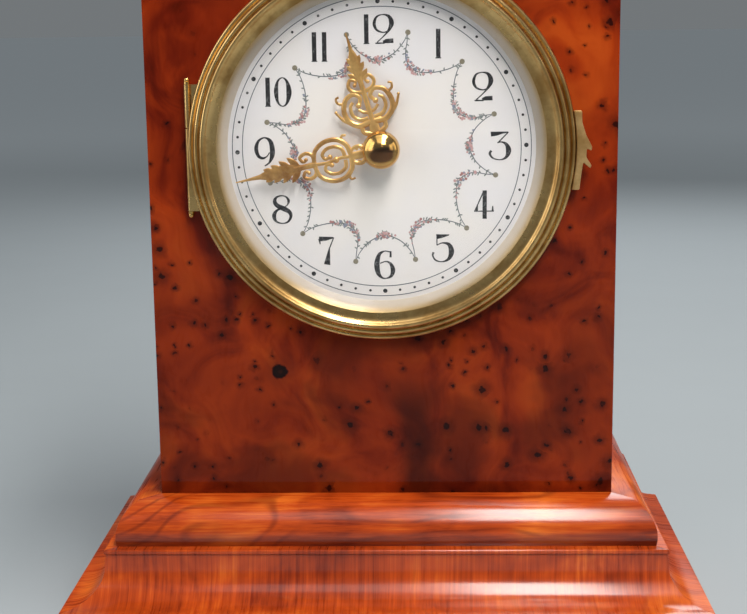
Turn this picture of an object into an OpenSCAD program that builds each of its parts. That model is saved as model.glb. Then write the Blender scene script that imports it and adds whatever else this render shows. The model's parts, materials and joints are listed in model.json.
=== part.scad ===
// Wood-cased anniversary clock with a hinged round bezel, a white dial and pierced gilt hands.
// A torsion pendulum swings inside the case, behind a hinged rear door.
// Frame: X to the right, Y to the back, Z up; the origin is the centre of the footprint.

/* [Case] */
// Width of the case between its side faces
body_w = 140; // [134:1:160]
// Depth of the case from its front face to its back
body_d = 84; // [82:1:100]
// Thickness of the case boards
board = 8; // [6:1:9]
// Height of the case's lower edge above the floor
body_z = 50; // [50:1:60]
// Height of the case walls
wall_h = 192; // [188:1:210]
// Height of the cap above the walls
cap_h = 20; // [14:1:30]

/* [Base] */
// How far the plinth stands out from the case
plinth_out = 28; // [28:1:34]
// Height of the feet
foot_h = 6.5; // [4:0.5:8]
// Widest radius of a foot
foot_r = 9; // [6:0.5:11]

/* [Dial and bezel] */
// Height of the dial's centre above the case's lower edge
dial_up = 107; // [104:1:112]
// Radius of the dial plate
dial_r = 49.8; // [49:0.1:50]
// Outer radius of the bezel
bezel_r = 57.4; // [57.2:0.1:57.6]
// How far the convex glass rises in the middle
glass_rise = 6.2; // [6:0.1:8]
// Clockwise angle of the minute hand from twelve
minute_angle = 257.8; // [0:0.1:359.9]
// Clockwise angle of the hour hand from twelve
hour_angle = 343.5; // [0:0.1:359.9]

/* [Movement] */
// Clear space between the movement plates
plate_gap = 16; // [16:0.5:18]
// Thickness of a movement plate
plate_t = 1.8; // [1.5:0.1:2]
// Distance from the back plate to the suspension wire
suspension_gap = 9; // [9:0.5:11]
// Radius at which the pendulum's balls hang
ball_orbit = 17; // [15:0.5:17]
// Radius of a pendulum ball
ball_r = 8; // [6:0.5:8.5]

/* [Hidden] */
$fn = 72;

// Case planes
rear_y = (body_d + plinth_out) / 2;
front_y = rear_y - body_d;
inner_x = body_w / 2 - board;
inner_y = front_y + board;
wall_top = body_z + wall_h;
dial_z = body_z + dial_up;
moulding_z = body_z - 13;      // joint between the upper and the lower base moulding
cornice_z = wall_top - 16;
ceiling_z = wall_top - 12;     // underside of the top board

// Rear frame and door
frame_t = 12;
frame_y = rear_y - frame_t;
lip_t = 2.8;
door_y = frame_y + lip_t + 0.2;
door_t = 4;
door_z = [body_z + 2.4, body_z + 159.6];
door_x = [-44.6, 46];
door_pivot = [-46, door_y + door_t + 1.1];
door_knuckle_r = 1.1;
door_hinge_l = 20;
door_hinge_z = [door_z[0] + 22, door_z[1] - 42];

// Dial and bezel, heights forward of the case's front face
dial_t = 1;
base_ring_t = 2;
bezel_back = 2.2;
glass_t = 1.5;
glass_seat = 6.4;              // shoulder in the bezel that the glass bears on
glass_r = bezel_r - 6.6;
glass_flat = glass_r - 1.8;      // inner radius of the glass's flat rim
bezel_pivot = [0.2 - bezel_r, front_y - 2.1];
knuckle_r = 0.95;
knuckle_split = 6.7;           // height of the break between the knuckles, above the dial's centre
knuckle_top = 19.5;
knuckle_bottom = -17.9;
hour_hand_h = 2.9;
minute_hand_h = 4.3;
hand_t = 0.5;

// Movement depths
plate_front = inner_y;                       // front of the front plate, flat on the case front
y0 = plate_front + plate_t;                  // back of the front plate
plate_back = y0 + plate_gap;                 // front of the back plate
outer_y = plate_back + plate_t;              // back of the back plate
suspension_y = outer_y + suspension_gap;
plate_x = 35;
plate_low = -49;
plate_high = 39;
pillars = [for (x = [-31, 31], z = [-37, 26]) [x, z]];
mounts = [for (x = [-30.5, 30.5], z = [-44.5, 34.5]) [x, z]];
pivot_r = 0.6;
pivot_play = 0.05;

// Gear train: tooth counts, modules and arbor places, seen from the front
pressure = 25;
addendum = 0.8;
dedendum = 1.05;
play = 0.12;
leaves = 12;
m_barrel = 0.45;
m_second = 0.35;
m_inter = 0.3;
m_centre = 0.5;
m_third = 0.45;
m_cannon = 0.5;
m_hour = 0.4;
z_long = 96;
z_centre = 48;
z_third = 36;
z_escape = 20;
function turn(a, r) = r * [cos(a), sin(a)];
function span(m, z) = m * (z + leaves) / 2;
function meet(a, ra, b, rb, side) =        // the point at ra from a and rb from b
    let (d = norm(b - a), u = (b - a) / d, s = (ra * ra - rb * rb + d * d) / (2 * d))
    a + s * u + side * sqrt(ra * ra - s * s) * [-u[1], u[0]];
centre_p = [0, 0];
barrel_p = [-10, -23];
escape_p = [0, 20];
anchor_p = [0, 32];
second_p = barrel_p + turn(15, span(m_barrel, z_long));
inter_p = meet(centre_p, span(m_inter, z_long), second_p, span(m_second, z_long), 1);
third_p = meet(centre_p, span(m_centre, z_centre), escape_p, span(m_third, z_third), 1);
minute_p = turn(-60, span(m_cannon, 36));

function aim(a, b) = atan2(b[1] - a[1], b[0] - a[0]);
function frac(x) = x - floor(x);
// Angle of a tooth on gear b that meshes with gear a, whose own tooth stands at angle pa
function mesh(a, pa, za, b, zb) =
    aim(a, b) + 180 - (0.5 - frac((aim(a, b) - pa) * za / 360)) * 360 / zb;
phase_third = mesh(centre_p, 0, z_centre, third_p, leaves);
phase_escape = mesh(third_p, 0, z_third, escape_p, leaves);
phase_inter = mesh(centre_p, 0, leaves, inter_p, z_long);
phase_second = mesh(inter_p, 0, leaves, second_p, z_long);
phase_barrel = mesh(second_p, 0, leaves, barrel_p, z_long);
phase_minute = mesh(centre_p, 0, leaves, minute_p, 36);
phase_hour = mesh(minute_p, 0, leaves, centre_p, 48);

// Suspension heights
fork_z = dial_z + 42.5;
block_z = dial_z + 48;
arm_z = dial_z + 50;
arm_t = 6;
bob_z = body_z + 28;           // centre of the balls
arms_z = bob_z + 14;
hook_z = arms_z + 6;
wire_r = 0.2;
fork_reach = 5.5;

wood = [0.66, 0.27, 0.10];
orange_wood = [0.78, 0.38, 0.16];
brass = [0.80, 0.65, 0.32];
gilt = [0.86, 0.66, 0.28];
steel = [0.62, 0.63, 0.66];
enamel = [0.93, 0.92, 0.89];

function arc(c, r, a, b, n) = [for (i = [0:n]) c + turn(a + (b - a) * i / n, r)];

// ---- shared shapes ----

// Puts a shape drawn seen from the front at point p, growing forward from depth y
module at(p, y) {
    translate([p[0], y, dial_z + p[1]]) rotate([90, 0, 0]) children();
}

// A plain disc or rod along Y between two depths
module rod(p, r, y1, y2) {
    at(p, y2) cylinder(r = r, h = y2 - y1);
}

// Keeps what lies inside a plan outline
module plan_cut(outline) {
    intersection() {
        children();
        linear_extrude(400) polygon(outline);
    }
}

// A moulding along the front, of a profile given as distance out of the case and height
module front_run(profile, inset) {
    x = body_w / 2 - inset;
    y = front_y + inset;
    plan_cut([[-x, y], [x, y], [x + 80, y - 80], [-x - 80, y - 80]])
        rotate([90, 0, 90]) translate([0, 0, -150]) linear_extrude(300)
            polygon([for (q = profile) [front_y - q[0], q[1]]]);
}

// The same moulding along the right side, flush at the back
module side_run(profile, inset) {
    x = body_w / 2 - inset;
    y = front_y + inset;
    plan_cut([[x, y], [x + 80, y - 80], [x + 80, rear_y], [x, rear_y]])
        rotate([90, 0, 0]) translate([0, 0, -150]) linear_extrude(300)
            polygon([for (q = profile) [body_w / 2 + q[0], q[1]]]);
}

// Half the angle that a tooth fills at radius r
function inv(a) = tan(a) * 180 / PI - a;
function half_tooth(r, m, z) =
    (90 - play * 180 / PI) / z + inv(pressure) - inv(acos(min(1, m * z / 2 * cos(pressure) / r)));

// Outline of an involute gear with a tooth at the given angle
module gear2d(m, z, phase) {
    rp = m * z / 2;
    rf = rp - dedendum * m;
    rb = rp * cos(pressure);
    steps = rb > rf ? [rb, rp, rp + addendum * m] : [rf, rp, rp + addendum * m];
    foot = rb > rf ? [[rf, half_tooth(rb, m, z)]] : [];
    flank = concat(foot, [for (r = steps) [r, half_tooth(r, m, z)]]);
    n = len(flank);
    polygon([for (i = [0:z - 1], k = [0:2 * n - 1])
        let (f = k < n ? flank[k] : flank[2 * n - 1 - k], s = k < n ? -1 : 1)
        turn(phase + i * 360 / z + s * f[1], f[0])]);
}

// A toothed disc pierced by a ring of round holes
module wheel(m, z, phase, t, hub_r) {
    r = m * z / 2;
    hole = (r - 2.2 * m - hub_r) / 2;
    linear_extrude(t) difference() {
        gear2d(m, z, phase);
        for (i = [0:4]) rotate(i * 72) translate([hub_r + hole, 0]) circle(r = hole * 0.78);
    }
}

// A wheel and its pinion on one arbor; depths are counted back from the front plate
module arbor(p, wheel_at, m_w, z_w, wheel_phase, pinion_at, m_p, pinion_phase) {
    rod(p, 1, y0 + 0.3, plate_back - 0.3);
    rod(p, pivot_r, y0 - plate_t, outer_y);
    at(p, y0 + wheel_at + 1) wheel(m_w, z_w, wheel_phase, 1, 2.4);
    rod(p, 2, y0 + wheel_at - 0.4, y0 + wheel_at + 1.4);
    at(p, y0 + pinion_at + 1.8) linear_extrude(1.8) gear2d(m_p, leaves, pinion_phase);
}

// ---- base ----

module foot() {
    bulge = foot_h * 0.42;
    rotate_extrude() polygon(concat([[0, 0], [foot_r - bulge, 0]],
        arc([foot_r - bulge, bulge], bulge, -60, 75, 9),
        [[foot_r * 0.66, foot_h - 0.7], [foot_r * 0.72, foot_h - 0.7], [foot_r * 0.72, foot_h],
         [0, foot_h]]));
}

module feet() {
    x = body_w / 2 + plinth_out / 2;
    color(brass) for (sx = [-1, 1], y = [-rear_y + 14, rear_y - 14])
        translate([sx * x, y, 0]) foot();
}

module base_block() {
    color(wood) translate([-inner_x, inner_y, foot_h])
        cube([2 * inner_x, rear_y - inner_y, moulding_z - foot_h]);
}

plinth_profile = concat(
    [[-board, foot_h], [plinth_out, foot_h], [plinth_out, moulding_z - 16.5],
     [plinth_out - 0.4, moulding_z - 15.7], [plinth_out - 1.9, moulding_z - 15.5]],
    arc([plinth_out - 1.9, moulding_z - 5], 10.5, 270, 180, 14),
    [[plinth_out - 12.8, moulding_z - 1.6], [plinth_out - 12.3, moulding_z - 1.3]],
    arc([plinth_out - 12.9, moulding_z - 0.6], 0.6, 0, 90, 4), [[-board, moulding_z]]);
base_profile = concat(
    [[-board, moulding_z]], arc([1.4, moulding_z + 2.6], 11.2, -13.4, 54.3, 14),
    [[5.9, body_z], [-board, body_z]]);
cornice_profile = concat(
    [[0, cornice_z], [1.4, cornice_z], [1.4, cornice_z + 2.2]],
    arc([9.4, cornice_z + 2.8], 8, 180, 90, 12),
    [[10, cornice_z + 11.4], [10, wall_top], [0, wall_top]]);

module plinth_front() { color(orange_wood) front_run(plinth_profile, board); }
module plinth_right() { color(orange_wood) side_run(plinth_profile, board); }
module plinth_left() { color(orange_wood) mirror([1, 0, 0]) side_run(plinth_profile, board); }
module base_moulding_front() { color(orange_wood) front_run(base_profile, board); }
module base_moulding_right() { color(orange_wood) side_run(base_profile, board); }
module base_moulding_left() { color(orange_wood) mirror([1, 0, 0]) side_run(base_profile, board); }
module cornice_front() { color(orange_wood) front_run(cornice_profile, 0); }
module cornice_right() { color(orange_wood) side_run(cornice_profile, 0); }
module cornice_left() { color(orange_wood) mirror([1, 0, 0]) side_run(cornice_profile, 0); }

// ---- case ----

dial_hole = 42;
screw_r = 1.3;

module front_panel() {
    color(wood) difference() {
        translate([-body_w / 2, front_y, body_z]) cube([body_w, board, wall_h]);
        rod(centre_p, dial_hole, front_y - 1, inner_y + 1);
        for (p = mounts) rod(p, screw_r + pivot_play, inner_y - 6, inner_y + 1);
    }
}

module side_panel_right() {
    color(wood) translate([inner_x, inner_y, body_z]) cube([board, rear_y - inner_y, wall_h]);
}
module side_panel_left() { mirror([1, 0, 0]) side_panel_right(); }

module case_top() {
    color(wood) translate([-inner_x, inner_y, ceiling_z])
        cube([2 * inner_x, rear_y - inner_y, wall_top - ceiling_z]);
}

// Low caddy cap: one outline seen from the front and one seen from the side, crossed
module top_cap() {
    slope = concat([[4, wall_top], [4, wall_top + 3], [2.5, wall_top + 4]],
        arc([2.5, wall_top + 16], 12, 270, 200, 10),
        [[-13, wall_top + cap_h - 4], [-13, wall_top + cap_h]]);
    n = len(slope);
    color(orange_wood) intersection() {
        rotate([90, 0, 0]) translate([0, 0, -150]) linear_extrude(300) polygon(concat(
            [for (q = slope) [body_w / 2 + q[0], q[1]]],
            [for (i = [n - 1:-1:0]) [-body_w / 2 - slope[i][0], slope[i][1]]]));
        rotate([90, 0, 90]) translate([0, 0, -150]) linear_extrude(300) polygon(concat(
            [for (q = slope) [front_y - q[0], q[1]]],
            [[rear_y, wall_top + cap_h], [rear_y, wall_top]]));
    }
}

module back_frame() {
    lip = 3;
    color(wood) difference() {
        translate([-inner_x, frame_y, moulding_z])
            cube([2 * inner_x, frame_t, ceiling_z - moulding_z]);
        translate([-47.9, frame_y + lip_t, door_z[0] - 0.4])
            cube([94.2, frame_t, door_z[1] - door_z[0] + 0.8]);
        translate([-47.9 + lip + 3, frame_y - 1, door_z[0] + lip])
            cube([94.2 - 2 * lip - 3, frame_t, door_z[1] - door_z[0] - 2 * lip]);
    }
}

// ---- rear door ----

module back_door() {
    color(wood) difference() {
        translate([door_x[0], door_y, door_z[0]])
            cube([door_x[1] - door_x[0], door_t, door_z[1] - door_z[0]]);
        translate([door_x[0] + 12, door_y + door_t - 1, door_z[0] + 14])
            cube([door_x[1] - door_x[0] - 24, 2, door_z[1] - door_z[0] - 28]);
    }
}

module back_door_knob() {
    y = door_y + door_t;
    color(brass) translate([door_x[1] - 6, y, (door_z[0] + door_z[1]) / 2])
        rotate([-90, 0, 0]) rotate_extrude()
            polygon(concat([[0, 0], [2.6, 0], [2.6, 0.6], [1.3, 1.2], [1.3, 2]],
                arc([1.7, 3.2], 1.4, -60, 80, 8), [[0, 4.7]]));
}

module door_knuckles(spans) {
    for (z = door_hinge_z, s = spans) translate([door_pivot[0], door_pivot[1], z + s[0]])
        difference() {
            cylinder(r = door_knuckle_r, h = s[1] - s[0]);
            translate([0, 0, -1]) cylinder(r = 0.55, h = door_hinge_l + 2);
        }
}

module door_hinge_frame_leaves() {
    spans = [[0, 6.5], [13.5, door_hinge_l]];
    color(brass) {
        door_knuckles(spans);
        for (z = door_hinge_z) translate([-47.9, frame_y + lip_t + 0.6, z])
            cube([0.7, 7.4, door_hinge_l]);
        for (z = door_hinge_z, s = spans) difference() {
            translate([-47.3, door_pivot[1] - 0.4, z + s[0]]) cube([1.2, 0.8, s[1] - s[0]]);
            translate([door_pivot[0], door_pivot[1], z - 1]) cylinder(r = 0.8, h = 40);
        }
    }
}

module door_hinge_door_leaves() {
    color(brass) {
        door_knuckles([[6.7, 13.3]]);
        for (z = door_hinge_z) difference() {
            union() {
                translate([door_x[0], door_y + door_t, z]) cube([8, 0.8, door_hinge_l]);
                translate([door_pivot[0], door_y + door_t, z + 6.7]) cube([3, 0.8, 6.6]);
            }
            translate([door_pivot[0], door_pivot[1], z - 1]) cylinder(r = 0.8, h = 40);
        }
    }
}

module door_hinge_pins() {
    color(steel) for (z = door_hinge_z) translate([door_pivot[0], door_pivot[1], z - 0.6]) {
        cylinder(r = 0.5, h = door_hinge_l + 1.2);
        cylinder(r = 0.9, h = 0.6);
    }
}

// ---- bezel ----

// A knuckle with its leaf, between two heights about the dial's centre
module bezel_knuckle(low, high, leaf_y, leaf_t) {
    reach = 7;
    translate([bezel_pivot[0], bezel_pivot[1], dial_z + low]) cylinder(r = knuckle_r, h = high - low);
    translate([bezel_pivot[0], leaf_y, dial_z + low]) cube([reach, leaf_t, high - low]);
}

module bezel_pin_hole() {
    translate([bezel_pivot[0], bezel_pivot[1], dial_z - 30]) cylinder(r = 0.5, h = 60);
}

// Room for the other leaf's knuckle, between two heights about the dial's centre
module bezel_knuckle_notch(low, high) {
    translate([bezel_pivot[0], bezel_pivot[1], dial_z + low])
        cylinder(r = knuckle_r + 0.15, h = high - low);
}

module bezel_base_ring() {
    color(brass) difference() {
        union() {
            at(centre_p, front_y) difference() {
                cylinder(r = bezel_r - 0.6, h = base_ring_t);
                translate([0, 0, -1]) cylinder(r = dial_r + 0.3, h = base_ring_t + 2);
            }
            bezel_knuckle(knuckle_split + 0.2, knuckle_top, front_y - 1.2, 1.2);
        }
        bezel_pin_hole();
        bezel_knuckle_notch(knuckle_bottom - 0.2, knuckle_split);
        rod(centre_p, dial_r + 0.3, front_y - 3, front_y + 1);
    }
}

// Reeds and hollows of the polished ring, as radius and height forward of the case
function bezel_profile() = concat(
    [[glass_r + 0.2, bezel_back], [bezel_r, bezel_back], [bezel_r, bezel_back + 1]],
    arc([bezel_r - 0.8, bezel_back + 1], 0.8, 0, 150, 8),
    [[bezel_r - 1.8, bezel_back + 1.3], [bezel_r - 1.9, bezel_back + 2.6]],
    arc([bezel_r - 2.85, bezel_back + 3.2], 0.95, -15, 150, 8),
    [[bezel_r - 3.9, bezel_back + 4.2]],
    arc([bezel_r - 4.85, bezel_back + 5.3], 0.95, -15, 165, 8),
    [[bezel_r - 6.2, bezel_back + 5.2], [bezel_r - 7.6, glass_seat + 0.75],
     [bezel_r - 8.9, glass_seat + 0.6], [glass_r - 1.4, glass_seat], [glass_r + 0.2, glass_seat]]);

module bezel_ring() {
    color(brass) difference() {
        union() {
            at(centre_p, front_y) rotate_extrude() polygon(bezel_profile());
            bezel_knuckle(knuckle_bottom, knuckle_split - 0.2, front_y - bezel_back - 1, 1);
        }
        bezel_pin_hole();
        bezel_knuckle_notch(knuckle_split, knuckle_top + 0.2);
        rod(centre_p, glass_r + 0.2, front_y - 4, front_y);
    }
}

module bezel_hinge_pin() {
    h = knuckle_top - knuckle_bottom;
    color(brass) translate([bezel_pivot[0], bezel_pivot[1], dial_z + knuckle_bottom]) {
        cylinder(r = 0.45, h = h + 0.4);
        for (z = [-0.9, h + 0.1]) translate([0, 0, z]) cylinder(r = 0.9, h = 0.8);
        for (z = [-1.3, h + 1.3]) translate([0, 0, z]) sphere(r = 0.85, $fn = 32);
    }
}

module bezel_glass() {
    function dome(r, rim) = let (b = (glass_flat * glass_flat + glass_rise * glass_rise) / (2 * glass_rise))
        rim + sqrt(b * b - r * r) - (b - glass_rise);
    n = 16;
    color([0.9, 0.95, 1, 0.25]) at(centre_p, front_y) rotate_extrude() polygon(concat(
        [for (i = [0:n]) let (r = glass_flat * i / n) [r, dome(r, glass_seat - glass_t)]],
        [[glass_r, glass_seat - glass_t], [glass_r, glass_seat]],
        [for (i = [n:-1:0]) let (r = glass_flat * i / n) [r, dome(r, glass_seat)]]));
}

// Thumb tab on the right of the bezel: a plate with two curled prongs
module bezel_pull_tab() {
    x = bezel_r + 1.5;
    upper_prong = [[x + 1.5, -0.4], [x + 2.9, -1], [x + 3.1, 0.2], [x + 1.3, 3.6]];
    lower_prong = [[x + 0.5, -4.4], [x + 2.6, -6.2], [x + 3, -5.3], [x + 1.4, -2.9]];
    color(brass) at(centre_p, front_y - bezel_back - 0.2) linear_extrude(1.8) difference() {
        polygon(concat([[bezel_r - 3, -12.5], [x - 0.5, -12.5], [x, -8]], lower_prong, upper_prong,
            [[x + 0.1, 7.4], [x, 10.8], [bezel_r - 3, 10.8]]));
        circle(r = bezel_r + 0.02, $fn = 720);
    }
}

// ---- dial and hands ----

module dial_plate() {
    color(enamel) {
        at(centre_p, front_y) difference() {
            cylinder(r = dial_r, h = dial_t);
            translate([0, 0, -1]) cylinder(r = 3.3, h = dial_t + 2);
        }
        for (a = [45:90:315]) rod(turn(a, 27), 1.1, front_y - dial_t / 2, plate_front);
    }
}

module sight_ring() {
    color(brass) at(centre_p, front_y) rotate_extrude() polygon([[45.8, dial_t],
        [dial_r + 0.2, dial_t], [dial_r + 0.2, 4.6], [dial_r - 0.2, 4.6], [45.8, dial_t + 0.25]]);
}

module hand(h, angle, bore) {
    color(gilt) at(centre_p, front_y) translate([0, 0, h]) rotate(-angle)
        linear_extrude(hand_t) difference() {
            children();
            circle(r = bore);
        }
}

module scroll(r, wide) {
    difference() {
        circle(r = r);
        circle(r = r - wide);
    }
}

module minute_hand() {
    hand(minute_hand_h, minute_angle, 1.5) {
        circle(r = 3.6);
        translate([-0.8, 3]) square([1.6, 6.6]);
        for (s = [-1, 1]) translate([s * 1.3, 14]) scroll(4.9, 1.2);
        for (s = [-1, 1]) translate([s * 1.1, 21.6]) scroll(2.6, 0.9);
        polygon([[0, 23.4], [1.1, 25.5], [2.6, 28], [0.9, 29.2], [0.9, 33.4], [0.35, 36],
            [0, 44.2], [-0.35, 36], [-0.9, 33.4], [-0.9, 29.2], [-2.6, 28], [-1.1, 25.5]]);
    }
}

module hour_hand() {
    hand(hour_hand_h, hour_angle, 3) {
        circle(r = 4.6);
        translate([-0.9, 4]) square([1.8, 4.4]);
        for (s = [-1, 1]) {
            translate([s * 3.4, 12.4]) scroll(3.9, 1.1);
            translate([s * 7.3, 14.6]) scroll(2, 0.8);
            translate([s * 2.1, 18.6]) scroll(2.7, 0.9);
        }
        polygon([[0, 19.4], [1.2, 21.4], [2.4, 23.6], [0.9, 24.8], [0.7, 28],
            [0, 35.2], [-0.7, 28], [-0.9, 24.8], [-2.4, 23.6], [-1.2, 21.4]]);
    }
}

module hand_knob() {
    h = minute_hand_h + hand_t + 0.1;
    color(brass) at(centre_p, front_y) translate([0, 0, h]) rotate_extrude()
        polygon(concat([[1.0, 0], [3.4, 0], [3.8, 0.6]],
            arc([0.4, 1.2], 5.2, -4, 30, 5), arc([0, -0.2], 6.1, 48, 90, 8), [[0, 3], [1.0, 3]]));
}

// ---- movement frame ----

arbors = [second_p, inter_p, third_p, escape_p, anchor_p];
centre_r = 0.95;
barrel_pivot_r = 1.6;

module plate(y) {
    at(centre_p, y + plate_t) linear_extrude(plate_t)
        translate([-plate_x, plate_low]) square([2 * plate_x, plate_high - plate_low]);
}

module pivot_holes() {
    for (p = arbors) rod(p, pivot_r + pivot_play, y0 - 10, outer_y + 10);
    rod(centre_p, centre_r + pivot_play, y0 - 10, outer_y + 10);
    rod(barrel_p, barrel_pivot_r + pivot_play, y0 - 10, outer_y + 10);
}

module front_plate() {
    color(brass) {
        difference() {
            plate(plate_front);
            pivot_holes();
            for (p = mounts) rod(p, screw_r + 0.1, plate_front - 1, y0 + 1);
            for (p = pillars) rod(p, 1.2, plate_front - 1, y0 + 1);
        }
        rod(minute_p, 0.8, plate_front - 5.4, plate_front + 0.1);
    }
}

click_p = barrel_p + [-10.5, 3];

module back_plate() {
    color(brass) {
        difference() {
            plate(plate_back);
            pivot_holes();
            for (p = pillars) rod(p, 1.3, plate_back - 1, outer_y + 1);
            for (p = mounts) rod(p, 3.2, plate_back - 1, outer_y + 1);
        }
        rod(click_p, 1, outer_y - 0.1, outer_y + 2.2);
    }
}

module plate_pillars() {
    color(brass) for (p = pillars) {
        rod(p, 2.5, y0, plate_back);
        rod(p, 1.2, plate_front, y0 + 0.1);
        rod(p, 1.2, plate_back - 0.1, outer_y + 2);
    }
}

module pillar_nuts() {
    color(steel) for (p = pillars) at(p, outer_y + 1.6) difference() {
        cylinder(r = 2.6, h = 1.6, $fn = 6);
        translate([0, 0, -1]) cylinder(r = 1.25, h = 4);
    }
}

module mount_screws() {
    color(steel) for (p = mounts) {
        rod(p, screw_r, inner_y - 5.5, y0 + 0.2);
        difference() {
            rod(p, 2.6, y0, y0 + 1.6);
            translate([p[0] - 3, y0 + 1, dial_z + p[1] - 0.3]) cube([6, 2, 0.6]);
        }
    }
}

// ---- barrel and winding ----

drum_r = 19.5;

module barrel() {
    color(brass) difference() {
        union() {
            at(barrel_p, y0 + 2.7) linear_extrude(1.2) gear2d(m_barrel, z_long, phase_barrel);
            rod(barrel_p, drum_r, y0 + 2.6, y0 + 11.2);
        }
        rod(barrel_p, drum_r - 1.2, y0 + 2.7, y0 + 10.2);
        rod(barrel_p, 2 + pivot_play, y0 - 1, y0 + 20);
    }
}

module mainspring() {
    turns = 8;
    n = 24;
    t = 0.45;
    pitch = 1.05;
    function coil(i) = turn(i * 360 / n, drum_r - 1.9 - pitch * i / n);
    function skin(i) = turn(i * 360 / n, drum_r - 1.9 - t - pitch * i / n);
    color(steel) at(barrel_p, y0 + 9.9) linear_extrude(6.8) polygon(concat(
        [for (i = [0:turns * n]) coil(i)], [for (i = [turns * n:-1:0]) skin(i)]));
}

key_square = 2.2;

module barrel_arbor() {
    color(steel) {
        rod(barrel_p, 3, y0 + 2.9, y0 + 10);
        rod(barrel_p, 2, y0 + 0.3, plate_back - 0.3);
        rod(barrel_p, barrel_pivot_r, plate_front, outer_y + 0.3);
        at(barrel_p, outer_y + 9) translate([-key_square / 2, -key_square / 2, 0])
            cube([key_square, key_square, 8.8]);
    }
}

ratchet_r = 6;

module ratchet_wheel() {
    n = 24;
    color(steel) at(barrel_p, outer_y + 2) linear_extrude(1.7) difference() {
        polygon([for (i = [0:n - 1], k = [0:1])
            turn(i * 360 / n + k * 3, k == 0 ? ratchet_r - 1 : ratchet_r)]);
        square(key_square + 0.06, center = true);
    }
}

// The click rests just clear of the ratchet's teeth
module click() {
    t = 1.5;
    tip = barrel_p + turn(150, ratchet_r + 0.25) - click_p;
    color(steel) at(click_p, outer_y + 0.4 + t) difference() {
        union() {
            cylinder(r = 2.2, h = t);
            linear_extrude(t) polygon([[-4.4, -0.9], [-1.2, -1.6], [1.6, -1.4], tip,
                tip + [0.2, 0.7], [1.6, 1.5], [-1.2, 1.8], [-4.4, 0.9]]);
        }
        translate([0, 0, -1]) cylinder(r = 1 + pivot_play, h = t + 2);
    }
}

module click_spring() {
    color(steel) at(click_p, outer_y + 1.6) linear_extrude(1.2) {
        translate([-8.6, -14]) square([3.4, 5]);
        translate([-6.2, -9.4]) square([0.5, 8]);
        translate([-6.2, -1.9]) square([1.7, 0.5]);
    }
}

module winding_key() {
    y = outer_y + 3.4;
    color(brass) difference() {
        union() {
            rod(barrel_p, 2.9, y, y + 9);
            for (s = [-1, 1]) translate([barrel_p[0] + s * 4.6, y + 9, dial_z + barrel_p[1]])
                rotate([90, 0, 0]) translate([0, 0, -0.8]) difference() {
                    cylinder(r = 3.4, h = 1.6);
                    translate([0, 0, -1]) cylinder(r = 1.3, h = 4);
                }
            translate([barrel_p[0] - 2.5, y + 8.2, dial_z + barrel_p[1] - 1.2]) cube([5, 1.6, 2.4]);
        }
        at(barrel_p, y + 6) translate([-1.15, -1.15, -1]) cube([2.3, 2.3, 8]);
    }
}

// ---- going train ----

module second_wheel() {
    color(brass) arbor(second_p, 12.2, m_second, z_long, phase_second, 1.2, m_barrel, 0);
}

module intermediate_wheel() {
    color(brass) arbor(inter_p, 5, m_inter, z_long, phase_inter, 11.8, m_second, 0);
}

module centre_wheel() {
    color(brass) {
        rod(centre_p, centre_r, front_y - minute_hand_h - hand_t - 2.6, outer_y);
        rod(centre_p, 1.5, y0 + 0.3, plate_back - 0.3);
        at(centre_p, y0 + 14.9) wheel(m_centre, z_centre, 0, 0.9, 3);
        at(centre_p, y0 + 6.4) linear_extrude(1.8) gear2d(m_inter, leaves, 0);
    }
}

module third_wheel() {
    color(brass) arbor(third_p, 8, m_third, z_third, 0, 13.6, m_centre, phase_third);
}

escape_r = 9;

module escape_wheel() {
    color(brass) {
        rod(escape_p, 1, y0 + 0.3, plate_back - 0.3);
        rod(escape_p, pivot_r, plate_front, outer_y);
        at(escape_p, y0 + 9.4) linear_extrude(1.8) gear2d(m_third, leaves, phase_escape);
        at(escape_p, y0 + 4.8) linear_extrude(0.8) difference() {
            polygon([for (i = [0:z_escape - 1], k = [0:2]) turn(i * 18 + [0, 3, 4.2][k],
                [escape_r - 2, escape_r, escape_r][k])]);
            for (i = [0:4]) rotate(i * 72) translate([4, 0]) circle(r = 1.2);
        }
    }
}

module anchor() {
    swing_gap = 0.85;
    color(steel) {
        rod(anchor_p, 0.9, y0 + 0.3, plate_back - 0.3);
        rod(anchor_p, pivot_r, plate_front, outer_y + 4.2);
        at(anchor_p, y0 + 5.1) linear_extrude(1.4) {
            circle(r = 1.8);
            for (s = [-1, 1]) polygon([[0, 1.6], [s * 8.6, -2.2], [s * 8, -6.4],
                turn(90 - s * 45, escape_r + swing_gap) + escape_p - anchor_p + [s * 0.4, 0],
                turn(90 - s * 41, escape_r + swing_gap + 0.2) + escape_p - anchor_p,
                [s * 6.6, -2.6], [0, -1.6]]);
        }
        rod(anchor_p, 1.3, outer_y + 2.6, outer_y + 4.4);
        translate([0, outer_y + 3.5, dial_z + anchor_p[1]]) cylinder(r = 0.4, h = 12.5);
    }
}

// ---- motion work ----

module cannon_pinion() {
    color(steel) difference() {
        union() {
            at(centre_p, plate_front - 0.4) linear_extrude(1.6) gear2d(m_cannon, leaves, 0);
            rod(centre_p, 1.85, front_y - minute_hand_h + 0.02, plate_front - 1.9);
            rod(centre_p, 1.45, front_y - minute_hand_h - hand_t, plate_front - 1.9);
        }
        rod(centre_p, centre_r + pivot_play, front_y - 20, plate_front + 1);
    }
}

module minute_wheel() {
    color(brass) difference() {
        union() {
            at(minute_p, plate_front - 0.7) linear_extrude(1) gear2d(m_cannon, 36, phase_minute);
            at(minute_p, plate_front - 1.6) linear_extrude(3.4) gear2d(m_hour, leaves, 0);
        }
        rod(minute_p, 0.8 + pivot_play, plate_front - 8, plate_front + 1);
    }
}

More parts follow.
